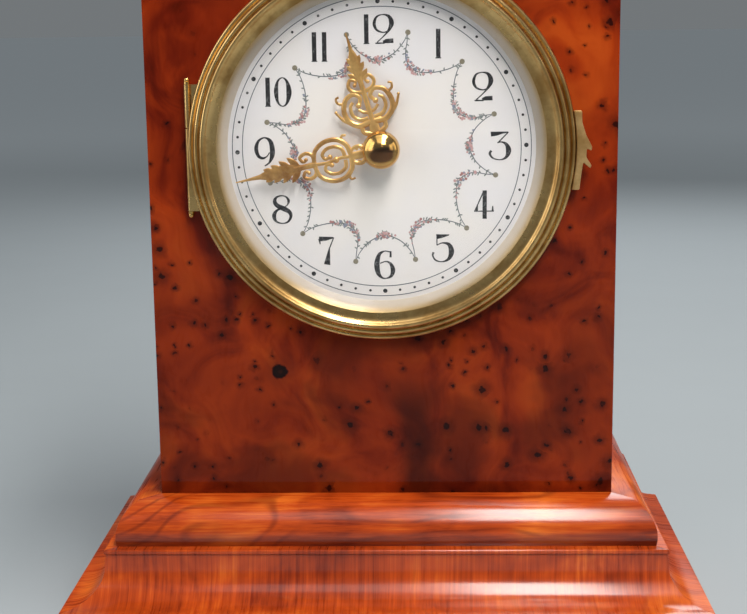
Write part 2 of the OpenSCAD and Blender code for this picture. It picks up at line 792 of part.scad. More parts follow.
module hour_wheel() {
    color(brass) difference() {
        union() {
            at(centre_p, plate_front - 3) linear_extrude(1) gear2d(m_hour, 48, phase_hour);
            rod(centre_p, 2.9, front_y - hour_hand_h - hand_t, plate_front - 3);
        }
        rod(centre_p, 1.85 + pivot_play, front_y - 20, plate_front + 1);
    }
}

// ---- suspension and pendulum ----

module suspension_bracket() {
    color(brass) difference() {
        union() {
            for (s = [-1, 1]) translate([s * 9.5 - 1.5, outer_y, dial_z + 29])
                cube([3, 1.6, arm_z + arm_t - dial_z - 29]);
            translate([-11, outer_y, arm_z]) cube([22, 1.6, arm_t]);
            translate([-3, outer_y, arm_z]) cube([6, suspension_gap + 5, arm_t]);
        }
        translate([-1.6, suspension_y - 2.2, arm_z - 1]) cube([3.2, 4.4, arm_t + 2]);
    }
}

module top_block() {
    h = arm_z + arm_t + 1.6 - block_z;
    color(steel) difference() {
        union() {
            translate([-1.4, suspension_y - 1.8, block_z]) cube([2.8, 3.6, h]);
            translate([-3, suspension_y, arm_z + arm_t + 0.6]) rotate([0, 90, 0])
                cylinder(r = 0.6, h = 6);
        }
        translate([0, suspension_y, block_z - 1]) cylinder(r = wire_r + 0.03, h = 3);
    }
}

module suspension_wire() {
    color(steel) translate([0, suspension_y, hook_z + 6.5]) cylinder(r = wire_r, h = block_z - hook_z - 5);
}

module suspension_fork() {
    color(steel) translate([0, suspension_y, fork_z - 1]) difference() {
        union() {
            translate([-1.8, -1.5, 0]) cube([3.6, 3, 2]);
            for (s = [-1, 1]) translate([s * 0.95 - 0.3, -fork_reach - 1.3, 0.5])
                cube([0.6, fork_reach, 1]);
        }
        translate([0, 0, -1]) cylinder(r = wire_r + pivot_play, h = 4);
    }
}

module bottom_block() {
    color(steel) translate([0, suspension_y, hook_z]) difference() {
        union() {
            translate([-1.9, -1.9, 0]) cube([3.8, 3.8, 8]);
            translate([-3.4, 0, 3]) rotate([0, 90, 0]) cylinder(r = 0.6, h = 6.8);
        }
        translate([0, 0, 6]) cylinder(r = wire_r + pivot_play, h = 4);
    }
}

module pendulum_frame() {
    color(brass) translate([0, suspension_y, 0]) {
        translate([0, 0, bob_z - 16]) cylinder(r = 2.2, h = hook_z - bob_z + 16);
        translate([0, 0, bob_z - 20]) cylinder(r1 = 0.8, r2 = 1.6, h = 4.1);
        for (z = [bob_z - 15, arms_z]) translate([0, 0, z]) {
            cylinder(r = 7, h = 1.6);
            for (a = [0, 90]) rotate(a) translate([-ball_orbit - 2, -1.2, 0])
                cube([2 * ball_orbit + 4, 2.4, 1.6]);
        }
        translate([0, 0, arms_z + 1.5]) cylinder(r = 5.5, h = 2);
    }
}

module pendulum_balls() {
    color(brass) for (a = [0:90:270]) translate([0, suspension_y, 0]) rotate(a)
        translate([ball_orbit, 0, 0]) {
            translate([0, 0, bob_z]) sphere(r = ball_r, $fn = 48);
            translate([0, 0, bob_z - 13.4]) cylinder(r = 1, h = arms_z - bob_z + 13.4);
        }
}

feet();
base_block();
plinth_front();
plinth_left();
plinth_right();
base_moulding_front();
base_moulding_left();
base_moulding_right();
front_panel();
side_panel_left();
side_panel_right();
case_top();
back_frame();
cornice_front();
cornice_left();
cornice_right();
top_cap();
back_door();
back_door_knob();
door_hinge_frame_leaves();
door_hinge_door_leaves();
door_hinge_pins();
bezel_base_ring();
bezel_ring();
bezel_hinge_pin();
bezel_glass();
bezel_pull_tab();
dial_plate();
sight_ring();
hour_hand();
minute_hand();
hand_knob();
front_plate();
back_plate();
plate_pillars();
pillar_nuts();
mount_screws();
barrel();
mainspring();
barrel_arbor();
ratchet_wheel();
click();
click_spring();
second_wheel();
intermediate_wheel();
centre_wheel();
third_wheel();
escape_wheel();
cannon_pinion();
minute_wheel();
hour_wheel();
anchor();
suspension_bracket();
top_block();
suspension_wire();
suspension_fork();
bottom_block();
pendulum_frame();
pendulum_balls();
winding_key();
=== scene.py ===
"""Looks for a wood-cased anniversary clock: a hinged brass bezel, a white dial and gilt hands."""
import json
import math
import random

import bmesh
import bpy
from mathutils import Matrix, Vector


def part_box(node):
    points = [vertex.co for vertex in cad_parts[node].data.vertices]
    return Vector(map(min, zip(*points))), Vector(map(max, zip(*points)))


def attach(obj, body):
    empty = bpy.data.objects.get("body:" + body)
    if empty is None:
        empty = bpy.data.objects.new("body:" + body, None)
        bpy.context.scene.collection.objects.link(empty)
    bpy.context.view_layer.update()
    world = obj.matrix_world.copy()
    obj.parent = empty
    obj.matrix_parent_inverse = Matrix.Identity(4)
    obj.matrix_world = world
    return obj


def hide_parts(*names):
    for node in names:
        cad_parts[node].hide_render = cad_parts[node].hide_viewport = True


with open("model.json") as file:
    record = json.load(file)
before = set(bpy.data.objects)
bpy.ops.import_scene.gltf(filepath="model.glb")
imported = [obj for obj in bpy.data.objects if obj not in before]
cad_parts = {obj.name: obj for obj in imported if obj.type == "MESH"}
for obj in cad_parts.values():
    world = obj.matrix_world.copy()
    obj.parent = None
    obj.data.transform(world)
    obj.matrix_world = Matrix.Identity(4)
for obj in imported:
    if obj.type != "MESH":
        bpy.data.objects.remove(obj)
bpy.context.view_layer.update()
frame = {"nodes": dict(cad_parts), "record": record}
scene = bpy.context.scene
MM = 0.001

# ---- places, from the frame ----

dial_low, dial_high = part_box("dial_plate")
panel_low, panel_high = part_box("front_panel")
DIAL_X = (dial_low.x + dial_high.x) / 2
DIAL_Z = (dial_low.z + dial_high.z) / 2
DIAL_FACE = dial_low.y              # front of the dial plate
PANEL_FACE = panel_low.y            # front of the case
MOULDING_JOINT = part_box("base_moulding_front")[0].z / MM        # between the two base mouldings, in mm


def on_dial(x, y, proud):
    """World place of a dial point, in mm from the dial's centre and in front of its face."""
    return Vector((DIAL_X + x * MM, DIAL_FACE - proud * MM, DIAL_Z + y * MM))


def polar(radius, clock_degrees):
    """A point at a clockwise angle from twelve."""
    a = math.radians(clock_degrees)
    return (radius * math.sin(a), radius * math.cos(a))


def srgb(r, g, b):
    """Screen values 0 to 255 as a linear colour."""
    def linear(v):
        v /= 255
        return v / 12.92 if v <= 0.04045 else ((v + 0.055) / 1.055) ** 2.4
    return (linear(r), linear(g), linear(b), 1)


# ---- camera, lights and floor ----

# The camera's place in metres: right of the case's middle, in front of the case, above the dial's centre
CAMERA_RIGHT, CAMERA_FRONT, CAMERA_ABOVE = 0.0113, 0.4343, 0.0364
# Its turn (negative is left), its tilt down and its lean, in radians, and its lens in mm
CAMERA_YAW, CAMERA_PITCH, CAMERA_ROLL = -0.0329, 0.192, -0.0129
CAMERA_LENS = 70.2

CASE_MIDDLE = (0, 0, 0.12)
# Name, place, what it points at, width and height, watts, colour
LIGHTS = [
    ("window", (0.24, -0.5, 0.95), (0.24, -0.25, 0.35), (0.24, 0.8), 13, (1, 0.97, 0.93)),
    ("window_side", (-0.12, -0.55, 0.93), (-0.12, -0.3, 0.33), (0.42, 0.5), 0.9, (1, 0.97, 0.93)),
    ("left_box", (-0.85, -0.5, 0.5), CASE_MIDDLE, (0.5, 0.9), 3.4, (1, 0.98, 0.95)),
    ("right_box", (1.0, -0.6, 0.42), CASE_MIDDLE, (0.35, 0.6), 0.9, (1, 0.93, 0.82)),
    ("rear_box", (0.2, 0.95, 0.7), CASE_MIDDLE, (0.8, 0.5), 5, (1, 1, 1)),
]
# Room light: height on the sky, 0 at the horizon and 1 overhead, and its colour there
SKY = [(0.06, srgb(204, 211, 215)), (0.24, srgb(140, 149, 155)), (0.6, srgb(186, 194, 200))]
SKY_STRENGTH = 0.28
FLOOR_HALF = 30                     # half of the floor's width, in metres


def make_camera():
    """A camera a little right of and above the dial, looking down at the base."""
    yaw, pitch, roll = CAMERA_YAW, CAMERA_PITCH, CAMERA_ROLL
    spot = Vector((CAMERA_RIGHT, PANEL_FACE - CAMERA_FRONT, DIAL_Z + CAMERA_ABOVE))
    ahead = Vector((math.sin(yaw) * math.cos(pitch), math.cos(yaw) * math.cos(pitch), -math.sin(pitch)))
    right = Vector((math.cos(yaw), -math.sin(yaw), 0))
    up = right.cross(ahead)
    across = math.cos(roll) * right + math.sin(roll) * up
    over = math.cos(roll) * up - math.sin(roll) * right
    data = bpy.data.cameras.new("camera")
    data.sensor_width = 36
    data.lens = CAMERA_LENS
    data.clip_start = 0.01
    camera = bpy.data.objects.new("camera", data)
    turn = Matrix((across, over, -ahead)).transposed()
    camera.matrix_world = Matrix.Translation(spot) @ turn.to_4x4()
    scene.collection.objects.link(camera)
    scene.camera = camera


def area_light(name, place, target, size, power, colour):
    data = bpy.data.lights.new(name, "AREA")
    data.shape = "RECTANGLE"
    data.size, data.size_y = size
    data.energy = power
    data.color = colour
    light = bpy.data.objects.new(name, data)
    light.location = place
    light.rotation_euler = (Vector(target) - Vector(place)).to_track_quat("-Z", "Y").to_euler()
    scene.collection.objects.link(light)


def make_world():
    """Even grey room light, a little paler at the horizon and overhead."""
    world = bpy.data.worlds.new("world")
    world.use_nodes = True
    tree = world.node_tree
    split = tree.nodes.new("ShaderNodeSeparateXYZ")
    tree.links.new(tree.nodes.new("ShaderNodeTexCoord").outputs["Generated"], split.inputs[0])
    sky = tree.nodes.new("ShaderNodeValToRGB")
    tree.links.new(split.outputs["Z"], sky.inputs[0])
    elements = sky.color_ramp.elements
    elements.new(0.5)
    for element, (height, colour) in zip(elements, SKY):
        element.position = height
        element.color = colour
    background = tree.nodes["Background"]
    tree.links.new(sky.outputs[0], background.inputs["Color"])
    background.inputs["Strength"].default_value = SKY_STRENGTH
    scene.world = world


def make_floor():
    """A flat square floor; it is scenery and not part of the clock."""
    half = FLOOR_HALF
    mesh = bpy.data.meshes.new("floor")
    mesh.from_pydata([(-half, -half, 0), (half, -half, 0), (half, half, 0), (-half, half, 0)],
                     [], [(0, 1, 2, 3)])
    mesh.materials.append(floor_material())
    floor = bpy.data.objects.new("floor", mesh)
    scene.collection.objects.link(floor)


def make_studio():
    """A bright lamp high on the right, soft boxes around the clock, room light and a pale floor."""
    for light in LIGHTS:
        area_light(*light)
    make_world()
    make_floor()
    scene.view_settings.view_transform = "Standard"


# ---- materials ----

class Nodes:
    """Short calls that build a material's node tree."""

    def __init__(self, name):
        self.material = bpy.data.materials.new(name)
        self.material.use_nodes = True
        self.tree = self.material.node_tree
        self.shader = self.tree.nodes["Principled BSDF"]
        self.place = self.node("ShaderNodeTexCoord").outputs["Object"]

    def node(self, kind, **settings):
        n = self.tree.nodes.new(kind)
        for key, value in settings.items():
            setattr(n, key, value)
        return n

    def feed(self, socket, value):
        if isinstance(value, bpy.types.NodeSocket):
            self.tree.links.new(value, socket)
        else:
            socket.default_value = value

    def math(self, operation, a, b=0.0, c=0.0):
        n = self.node("ShaderNodeMath", operation=operation)
        for socket, value in zip(n.inputs, (a, b, c)):
            self.feed(socket, value)
        return n.outputs[0]

    def vector(self, operation, a, b):
        n = self.node("ShaderNodeVectorMath", operation=operation)
        self.feed(n.inputs[0], a)
        self.feed(n.inputs[1], b)
        return n.outputs[0]

    def length(self, vector):
        n = self.node("ShaderNodeVectorMath", operation="LENGTH")
        self.feed(n.inputs[0], vector)
        return n.outputs["Value"]

    def split(self, vector):
        """The X, Y and Z of a vector."""
        n = self.node("ShaderNodeSeparateXYZ")
        self.feed(n.inputs[0], vector)
        return n.outputs

    def mapped(self, scale, move=(0, 0, 0)):
        """Coordinates in units of the pattern: scale is cycles per mm along X, Y and Z."""
        n = self.node("ShaderNodeMapping")
        self.feed(n.inputs["Vector"], self.place)
        n.inputs["Scale"].default_value = [s / MM for s in scale]
        n.inputs["Location"].default_value = move
        return n.outputs[0]

    def noise(self, vector, detail=3.0, rough=0.55, distort=0.0, colour=False):
        n = self.node("ShaderNodeTexNoise")
        self.feed(n.inputs["Vector"], vector)
        n.inputs["Scale"].default_value = 1
        n.inputs["Detail"].default_value = detail
        n.inputs["Roughness"].default_value = rough
        n.inputs["Distortion"].default_value = distort
        return n.outputs["Color" if colour else "Fac"]

    def lathe_rings(self, per_mm, detail=2.0):
        """Fine uneven rings around the dial's axis."""
        n = self.node("ShaderNodeTexNoise", noise_dimensions="1D")
        self.feed(n.inputs["W"], self.math("MULTIPLY", radial_place(self), per_mm))
        n.inputs["Scale"].default_value = 1
        n.inputs["Detail"].default_value = detail
        return n.outputs["Fac"]

    def ramp(self, fac, stops):
        n = self.node("ShaderNodeValToRGB")
        elements = n.color_ramp.elements
        while len(elements) < len(stops):
            elements.new(0.5)
        for element, (at, colour) in zip(elements, stops):
            element.position = at
            element.color = colour
        self.feed(n.inputs[0], fac)
        return n.outputs[0]

    def span(self, fac, a, b, to_a=0.0, to_b=1.0):
        """A smooth step from to_a at a to to_b at b."""
        n = self.node("ShaderNodeMapRange", interpolation_type="SMOOTHSTEP")
        for socket, value in zip(n.inputs, (fac, a, b, to_a, to_b)):
            self.feed(socket, value)
        return n.outputs[0]

    def mix(self, fac, a, b):
        n = self.node("ShaderNodeMix", data_type="RGBA")
        self.feed(n.inputs["Factor"], fac)
        self.feed(n.inputs["A"], a)
        self.feed(n.inputs["B"], b)
        return n.outputs["Result"]

    def warp(self, vector, by, amount):
        """Moves coordinates by a colour noise, by so many units of the pattern."""
        shifted = self.vector("SUBTRACT", by, (0.5, 0.5, 0.5))
        n = self.node("ShaderNodeVectorMath", operation="SCALE")
        self.feed(n.inputs[0], shifted)
        n.inputs["Scale"].default_value = amount
        return self.vector("ADD", vector, n.outputs[0])

    def bump(self, height, depth_mm, strength=1.0):
        n = self.node("ShaderNodeBump")
        n.inputs["Strength"].default_value = strength
        n.inputs["Distance"].default_value = depth_mm * MM
        self.feed(n.inputs["Height"], height)
        return n.outputs[0]

    def finish(self, colour, rough, metal=None, normal=None, **others):
        """Feeds the shader's inputs; an underscore in a name stands for a space."""
        named = {"Base Color": colour, "Roughness": rough, "Metallic": metal, "Normal": normal}
        named.update({key.replace("_", " "): value for key, value in others.items()})
        for key, value in named.items():
            if value is not None:
                self.feed(self.shader.inputs[key], value)
        return self.material


def floor_material():
    """A pale matt floor that keeps an even tone far from the lamps."""
    n = Nodes("floor")
    grain = n.noise(n.mapped((0.02, 0.02, 0.02)), 4)
    tint = n.mix(n.span(grain, 0.3, 0.7, 0, 0.12), srgb(160, 168, 172), srgb(153, 160, 164))
    far = n.span(n.length(n.place), 0.4, 2.4, 0, 0.13)
    return n.finish(tint, 0.7, Emission_Color=srgb(236, 246, 252), Emission_Strength=far)


def in_mm(n):
    """The object's own coordinates in mm."""
    return n.mapped((1, 1, 1))


EDGE_STRETCH = 0.8                  # how far the figure moves on for each mm of a board's thickness


def face_place(n, across):
    """Flat coordinates in mm on an upright board: along X (0) or Y (1), and up, carried on over its edges."""
    place = n.split(in_mm(n))
    depth = n.math("SUBTRACT", place[1 - across], PANEL_FACE / MM if across == 0 else 0.0)
    join = n.node("ShaderNodeCombineXYZ")
    n.feed(join.inputs[0], n.math("MULTIPLY_ADD", depth, EDGE_STRETCH, place[across]))
    n.feed(join.inputs[1], place[2])
    return join.outputs[0]


PIP_HALO, PIP_CORE = srgb(62, 14, 6), srgb(16, 4, 4)


def add_pips(n, flat, drift, colour, spacing, sizes, share, cluster, seed):
    """Dark pin knots, each with a stained halo, gathered in clusters; returns colour and cores.

    spacing and sizes (smallest and largest) are in mm, share is the part of the places that hold one,
    and cluster is clusters per mm.
    """
    moved = n.node("ShaderNodeMapping")
    n.feed(moved.inputs["Vector"], flat)
    moved.inputs["Scale"].default_value = [1 / spacing] * 3
    moved.inputs["Location"].default_value = (seed, seed * 1.7, 0)
    pips = n.node("ShaderNodeTexVoronoi", voronoi_dimensions="2D")
    ragged = n.noise(n.mapped((0.55, 0.55, 0.55)), 2, colour=True)
    bent = n.warp(moved.outputs[0], drift, 0.8)
    n.feed(pips.inputs["Vector"], n.warp(bent, ragged, 2.2 / spacing))
    pips.inputs["Scale"].default_value = 1
    chance = n.node("ShaderNodeSeparateColor")
    n.feed(chance.inputs[0], pips.outputs["Color"])
    gathered = n.noise(n.mapped((cluster,) * 3, move=(seed, 0, seed)), 2)
    where = n.span(gathered, 0.41, 0.53)
    keep = n.math("MULTIPLY", where, n.math("GREATER_THAN", chance.outputs[0], 1 - share))
    small, large = sizes
    size = n.math("MULTIPLY_ADD", chance.outputs[1], (large - small) / spacing, small / spacing)
    near = n.math("DIVIDE", pips.outputs["Distance"], size)
    halo = n.math("MULTIPLY", n.span(near, 4.0, 0.8), keep)
    core = n.math("MULTIPLY", n.span(near, 1.1, 0.7), keep)
    colour = n.mix(n.math("MULTIPLY", halo, 0.6), colour, PIP_HALO)
    return n.mix(n.math("MULTIPLY", core, 0.86), colour, PIP_CORE), core


# The knot's centre and radius and the flame's middle and top, in mm from the case's middle and the table
KNOT, KNOT_R = (-32, 89), 2.7
FLAME_X, FLAME_TOP = 6, 92
# Wood colours from the darkest to the lightest tone
BURR_TONES = [(0.42, srgb(62, 13, 3)), (0.51, srgb(98, 23, 6)), (0.59, srgb(128, 38, 9)),
              (0.68, srgb(150, 50, 12)), (0.80, srgb(168, 66, 18))]


def add_knot(n, flat, drift, colour):
    """The large dark knot low on the front, and the dark flame beside it."""
    ragged = n.noise(n.mapped((0.4, 0.4, 0.4)), 3, colour=True)
    middle = n.vector("SUBTRACT", flat, (*KNOT, 0))
    away = n.length(n.warp(middle, ragged, 1.8))
    colour = n.mix(n.span(away, 8.0, KNOT_R - 0.3, 0, 0.5), colour, srgb(92, 28, 9))
    colour = n.mix(n.span(away, KNOT_R, 2.0, 0, 0.97), colour, srgb(10, 4, 4))
    colour = n.mix(n.span(away, 0.9, 0.3, 0, 0.35), colour, srgb(60, 26, 14))
    bent = n.split(n.warp(flat, drift, 26))
    aside = n.math("ABSOLUTE", n.math("SUBTRACT", bent[0], FLAME_X))
    low = n.span(bent[1], FLAME_TOP, FLAME_TOP - 18)
    flame = n.math("MULTIPLY", n.span(aside, 9.0, 1.5, 0, 0.75), low)
    return n.mix(flame, colour, srgb(34, 7, 4))


def burr_material(name, seed, across, knot=False):
    """Lacquered burr veneer: red-brown clouds, dark flames, many pin knots and painted shade towards the
    foot.
    """
    n = Nodes(name)
    flat = face_place(n, across)
    drift = n.noise(n.mapped((0.02, 0.02, 0.02), move=(seed, 0, 0)), 2, colour=True)
    broad = n.warp(n.mapped((0.021, 0.021, 0.014), move=(seed, seed, 0)), drift, 1.6)
    clouds = n.noise(broad, 4, 0.5, 0.8)
    swirl = n.warp(n.mapped((0.05, 0.05, 0.034), move=(0, seed, seed)), drift, 3.0)
    figure = n.noise(swirl, 3, 0.5, 1.1)
    flow = n.warp(n.mapped((0.4, 0.4, 0.09)), drift, 9)
    fibre = n.noise(flow, 3, 0.6)
    tone = n.math("MULTIPLY_ADD", figure, 0.55, n.math("MULTIPLY", clouds, 0.6))
    tone = n.math("MULTIPLY_ADD", fibre, 0.09, tone)
    colour = n.ramp(tone, BURR_TONES)
    # Dark clouds of figure that grow stronger towards the foot; that growth low down is painted shade for the
    # light falling off there
    shade = n.noise(n.warp(n.mapped((0.028, 0.028, 0.04), move=(seed, 9, 0)), drift, 1.2), 3, 0.5)
    height = n.split(flat)[1]
    shade_low = n.span(height, 125, 85, 0.22, 0.6)
    shade = n.math("MULTIPLY", n.span(shade, 0.42, 0.62), shade_low)
    colour = n.mix(shade, colour, srgb(48, 9, 4))
    # Painted shade: the board darkens towards the foot, standing in for the light falling off low on the
    # front
    colour = n.mix(n.span(height, 115, 88, 0, 0.26), colour, srgb(58, 13, 5))
    colour, core = add_pips(n, flat, drift, colour, 9.5, (0.55, 1.15), 0.55, 0.025, seed)
    colour, fine = add_pips(n, flat, drift, colour, 5.0, (0.28, 0.6), 0.38, 0.045, seed + 5)
    if knot:
        colour = add_knot(n, flat, drift, colour)
    relief = n.math("SUBTRACT", n.math("MULTIPLY", fibre, 0.3), n.math("MAXIMUM", core, fine))
    return n.finish(colour, n.span(fibre, 0.3, 0.7, 0.26, 0.36), 0.0, n.bump(relief, 0.03, 0.4),
                    Coat_Weight=1.0, Coat_Roughness=0.05, Coat_IOR=1.22, Specular_IOR_Level=0.02)


MOULDING_TONES = [(0.38, srgb(118, 35, 8)), (0.53, srgb(176, 66, 16)), (0.68, srgb(214, 106, 34))]


def grain_material(name, seed, bands, fibres, shine=1.0, painted_reflection_at=None, veins=0.5):
    """Lacquered moulding wood with soft fibres, a few sweeping growth lines and, where asked, a band of
    painted dark reflection.

    bands and fibres are cycles per mm along X, Y and Z, shine is the strength of the lacquer, the argument
    after shine the height in mm of the joint below the moulding, just above which a dark band of painted
    reflection is laid, and veins the strength of the growth lines.
    """
    n = Nodes(name)
    drift = n.noise(n.mapped((0.02, 0.02, 0.02), move=(seed, 0, 0)), 1, colour=True)
    broad = n.noise(n.warp(n.mapped(bands, move=(seed, seed, 0)), drift, 0.5), 1, 0.4)
    rings = n.math("FRACT", n.math("MULTIPLY", broad, 15))
    line = n.span(n.math("ABSOLUTE", n.math("SUBTRACT", rings, 0.5)), 0.2, 0.02)
    faint = n.noise(n.mapped((0.05, 0.05, 0.05), move=(0, seed, 0)), 2)
    line = n.math("MULTIPLY", line, n.span(faint, 0.35, 0.55))
    fibre = n.noise(n.warp(n.mapped(fibres, move=(0, seed, 0)), drift, 2.5), 4, 0.7)
    cloud = n.noise(n.warp(n.mapped((0.03, 0.03, 0.05), move=(seed, 3, 0)), drift, 1.5), 3)
    tone = n.math("MULTIPLY_ADD", fibre, 0.42, n.math("MULTIPLY", cloud, 0.62))
    colour = n.ramp(tone, MOULDING_TONES)
    colour = n.mix(n.math("MULTIPLY", line, veins), colour, srgb(86, 20, 8))
    if painted_reflection_at:
        # Painted reflection: a dark band just above the joint stands in for the dark surroundings mirrored in
        # the lacquer
        height = n.split(in_mm(n))[2]
        colour = n.mix(n.span(height, painted_reflection_at + 4.5, painted_reflection_at + 1.5, 0, 0.6), colour, srgb(60, 12, 5))
    return n.finish(colour, n.span(fibre, 0.3, 0.7, 0.25, 0.36), 0.0, n.bump(fibre, 0.02, 0.25),
                    Coat_Weight=shine, Coat_Roughness=0.19, Coat_IOR=1.5, Specular_IOR_Level=0.05)


def radial_place(n):
    """Distance from the dial's axis, in mm."""
    middle = n.vector("SUBTRACT", n.place, (DIAL_X, 0, DIAL_Z))
    return n.length(n.vector("MULTIPLY", middle, (1 / MM, 0, 1 / MM)))


def brass_material(name, colour, worn, rough, turned=False, metal=1.0):
    """Polished brass with faint tarnish; turned adds the fine rings of a lathe."""
    n = Nodes(name)
    cloud = n.noise(n.mapped((0.05, 0.05, 0.05)), 5, 0.65)
    scuff = n.noise(n.mapped((0.9, 0.9, 0.9)), 4, 0.7)
    tint = n.mix(n.span(cloud, 0.38, 0.68), colour, worn)
    tint = n.mix(n.span(scuff, 0.60, 0.75, 0, 0.25), tint, worn)
    height = scuff
    if turned:
        height = n.math("MULTIPLY_ADD", n.lathe_rings(6), 1.2, n.math("MULTIPLY", scuff, 0.4))
    return n.finish(tint, n.span(cloud, 0.3, 0.7, rough, rough + 0.1), metal, n.bump(height, 0.012, 0.5))


def knob_material():
    """Polished brass with a painted brown reflection low on the dome."""
    n = Nodes("knob_brass")
    # Painted reflection: a brown patch below the dome's middle stands in for the dark surroundings mirrored
    # in the polished ball
    middle = n.vector("SUBTRACT", in_mm(n), (DIAL_X / MM + 0.4, 0, DIAL_Z / MM - 1.1))
    spot = n.vector("MULTIPLY", middle, (0.75, 0, 1.25))
    cloud = n.noise(n.mapped((0.3, 0.3, 0.3)), 3)
    away = n.math("MULTIPLY_ADD", cloud, 1.6, n.length(spot))
    brown = n.span(away, 4.4, 3.0, 0, 0.92)
    tint = n.mix(brown, srgb(214, 170, 98), srgb(86, 48, 32))
    return n.finish(tint, n.span(cloud, 0.3, 0.7, 0.12, 0.2), 1.0)


def sight_material():
    """Satin gilding on the sloping ring inside the bezel, paler towards the dial."""
    n = Nodes("sight_gilt")
    cloud = n.noise(n.mapped((0.12, 0.12, 0.12)), 4, 0.6)
    outward = n.span(radial_place(n), 46.6, 49.4)
    tint = n.mix(outward, srgb(196, 184, 170), srgb(188, 160, 108))
    tint = n.mix(n.span(cloud, 0.45, 0.7, 0, 0.25), tint, srgb(174, 156, 124))
    metal = n.span(radial_place(n), 47.0, 49.4, 0.0, 0.9)
    return n.finish(tint, n.span(cloud, 0.3, 0.7, 0.3, 0.42), metal,
                    n.bump(n.lathe_rings(5), 0.01, 0.4))


def steel_material():
    """Ground steel with a fine brushed grain."""
    n = Nodes("blued_steel")
    brush = n.noise(n.mapped((3, 0.2, 3)), 3)
    tint = n.mix(n.span(brush, 0.35, 0.65), srgb(150, 152, 158), srgb(118, 121, 128))
    return n.finish(tint, n.span(brush, 0.3, 0.7, 0.24, 0.36), 1.0, n.bump(brush, 0.01, 0.5))


def enamel_material():
    """White dial: a faint warm and cool drift, small specks and a soft gloss."""
    n = Nodes("dial_white")
    drift = n.noise(n.mapped((0.018, 0.018, 0.018)), 3)
    speck = n.noise(n.mapped((1.6, 1.6, 1.6)), 2)
    tint = n.mix(n.span(drift, 0.35, 0.65), srgb(238, 232, 226), srgb(230, 227, 229))
    tint = n.mix(n.span(speck, 0.70, 0.78, 0, 0.3), tint, srgb(205, 198, 190))
    return n.finish(tint, n.span(drift, 0.3, 0.7, 0.3, 0.38), 0.0, n.bump(speck, 0.004, 0.4))


def print_material(name, colour, rough=0.45):
    """Ink on the dial, a little thinner in places."""
    n = Nodes(name)
    worn = n.noise(n.mapped((1.2, 1.2, 1.2)), 3)
    light = [c + (1 - c) * 0.14 for c in colour[:3]] + [1]
    return n.finish(n.mix(n.span(worn, 0.5, 0.72), colour, light), rough, 0.0)


def glass_material():
    """Clear glass that lets the lamps through and mirrors them at its edges."""
    n = Nodes("bezel_glass")
    smear = n.noise(n.mapped((0.04, 0.04, 0.09)), 4, 0.6)
    edge = n.node("ShaderNodeLayerWeight")
    edge.inputs["Blend"].default_value = 0.5
    shine = n.math("MULTIPLY_ADD", n.math("POWER", edge.outputs["Facing"], 5.0), 0.8, 0.02)
    return n.finish((1, 1, 1, 1), n.span(smear, 0.3, 0.7, 0.02, 0.06), 1.0, Alpha=shine)


def board_material(name, seed, light, dark):
    """Plain stained wood with upright grain, for the back and the boards inside."""
    n = Nodes(name)
    drift = n.noise(n.mapped((0.02, 0.02, 0.01), move=(seed, 0, 0)), 2, colour=True)
    bands = n.noise(n.warp(n.mapped((0.14, 0.14, 0.012), move=(seed, 0, 0)), drift, 1.2), 4, 0.6)
    fibre = n.noise(n.mapped((1.6, 1.6, 0.06)), 3, 0.6)
    tone = n.math("MULTIPLY_ADD", fibre, 0.4, n.math("MULTIPLY", bands, 0.62))
    colour = n.ramp(tone, [(0.36, dark), (0.64, light)])
    return n.finish(colour, n.span(fibre, 0.3, 0.7, 0.42, 0.55), 0.0, n.bump(fibre, 0.05, 0.6))


# ---- CAD nodes: smoothing, small bevels and materials ----

WELD_MM = 0.002                     # points closer than this are joined
BEVEL_SEGMENTS = 3


def dress(node, material, bevel_mm=0.0, angle=35):
    """Gives a CAD node its material, smooth shading and, where asked, softened edges."""
    o = frame["nodes"][node]
    o.data.materials.clear()
    o.data.materials.append(material)
    weld = o.modifiers.new("weld", "WELD")
    weld.merge_threshold = WELD_MM * MM
    if bevel_mm:
        bevel = o.modifiers.new("bevel", "BEVEL")
        bevel.width = bevel_mm * MM
        bevel.segments = BEVEL_SEGMENTS
        bevel.limit_method = "ANGLE"
        bevel.angle_limit = math.radians(angle)
    for polygon in o.data.polygons:
        polygon.use_smooth = True
    smooth_by_angle(o, angle)


def smooth_by_angle(o, angle):
    """A geometry-nodes step that keeps edges sharper than the angle crisp."""
    name = f"smooth_{angle}"
    group = bpy.data.node_groups.get(name)
    if group is None:
        group = bpy.data.node_groups.new(name, "GeometryNodeTree")
        group.interface.new_socket("Geometry", in_out="INPUT", socket_type="NodeSocketGeometry")
        group.interface.new_socket("Geometry", in_out="OUTPUT", socket_type="NodeSocketGeometry")
        start = group.nodes.new("NodeGroupInput")
        end = group.nodes.new("NodeGroupOutput")
        edge = group.nodes.new("GeometryNodeInputMeshEdgeAngle")
        test = group.nodes.new("FunctionNodeCompare")
        test.data_type = "FLOAT"
        test.operation = "LESS_THAN"
        test.inputs["B"].default_value = math.radians(angle)
        shade = group.nodes.new("GeometryNodeSetShadeSmooth")
        shade.domain = "EDGE"
        group.links.new(start.outputs[0], shade.inputs["Geometry"])
        group.links.new(edge.outputs["Unsigned Angle"], test.inputs["A"])
        group.links.new(test.outputs[0], shade.inputs["Shade Smooth"])
        group.links.new(shade.outputs[0], end.inputs[0])
    o.modifiers.new("smooth", "NODES").node_group = group


def along(axis, far, near):
    """Pattern scales that are slow along one axis and quick across it."""
    return tuple(far if i == axis else near for i in range(3))


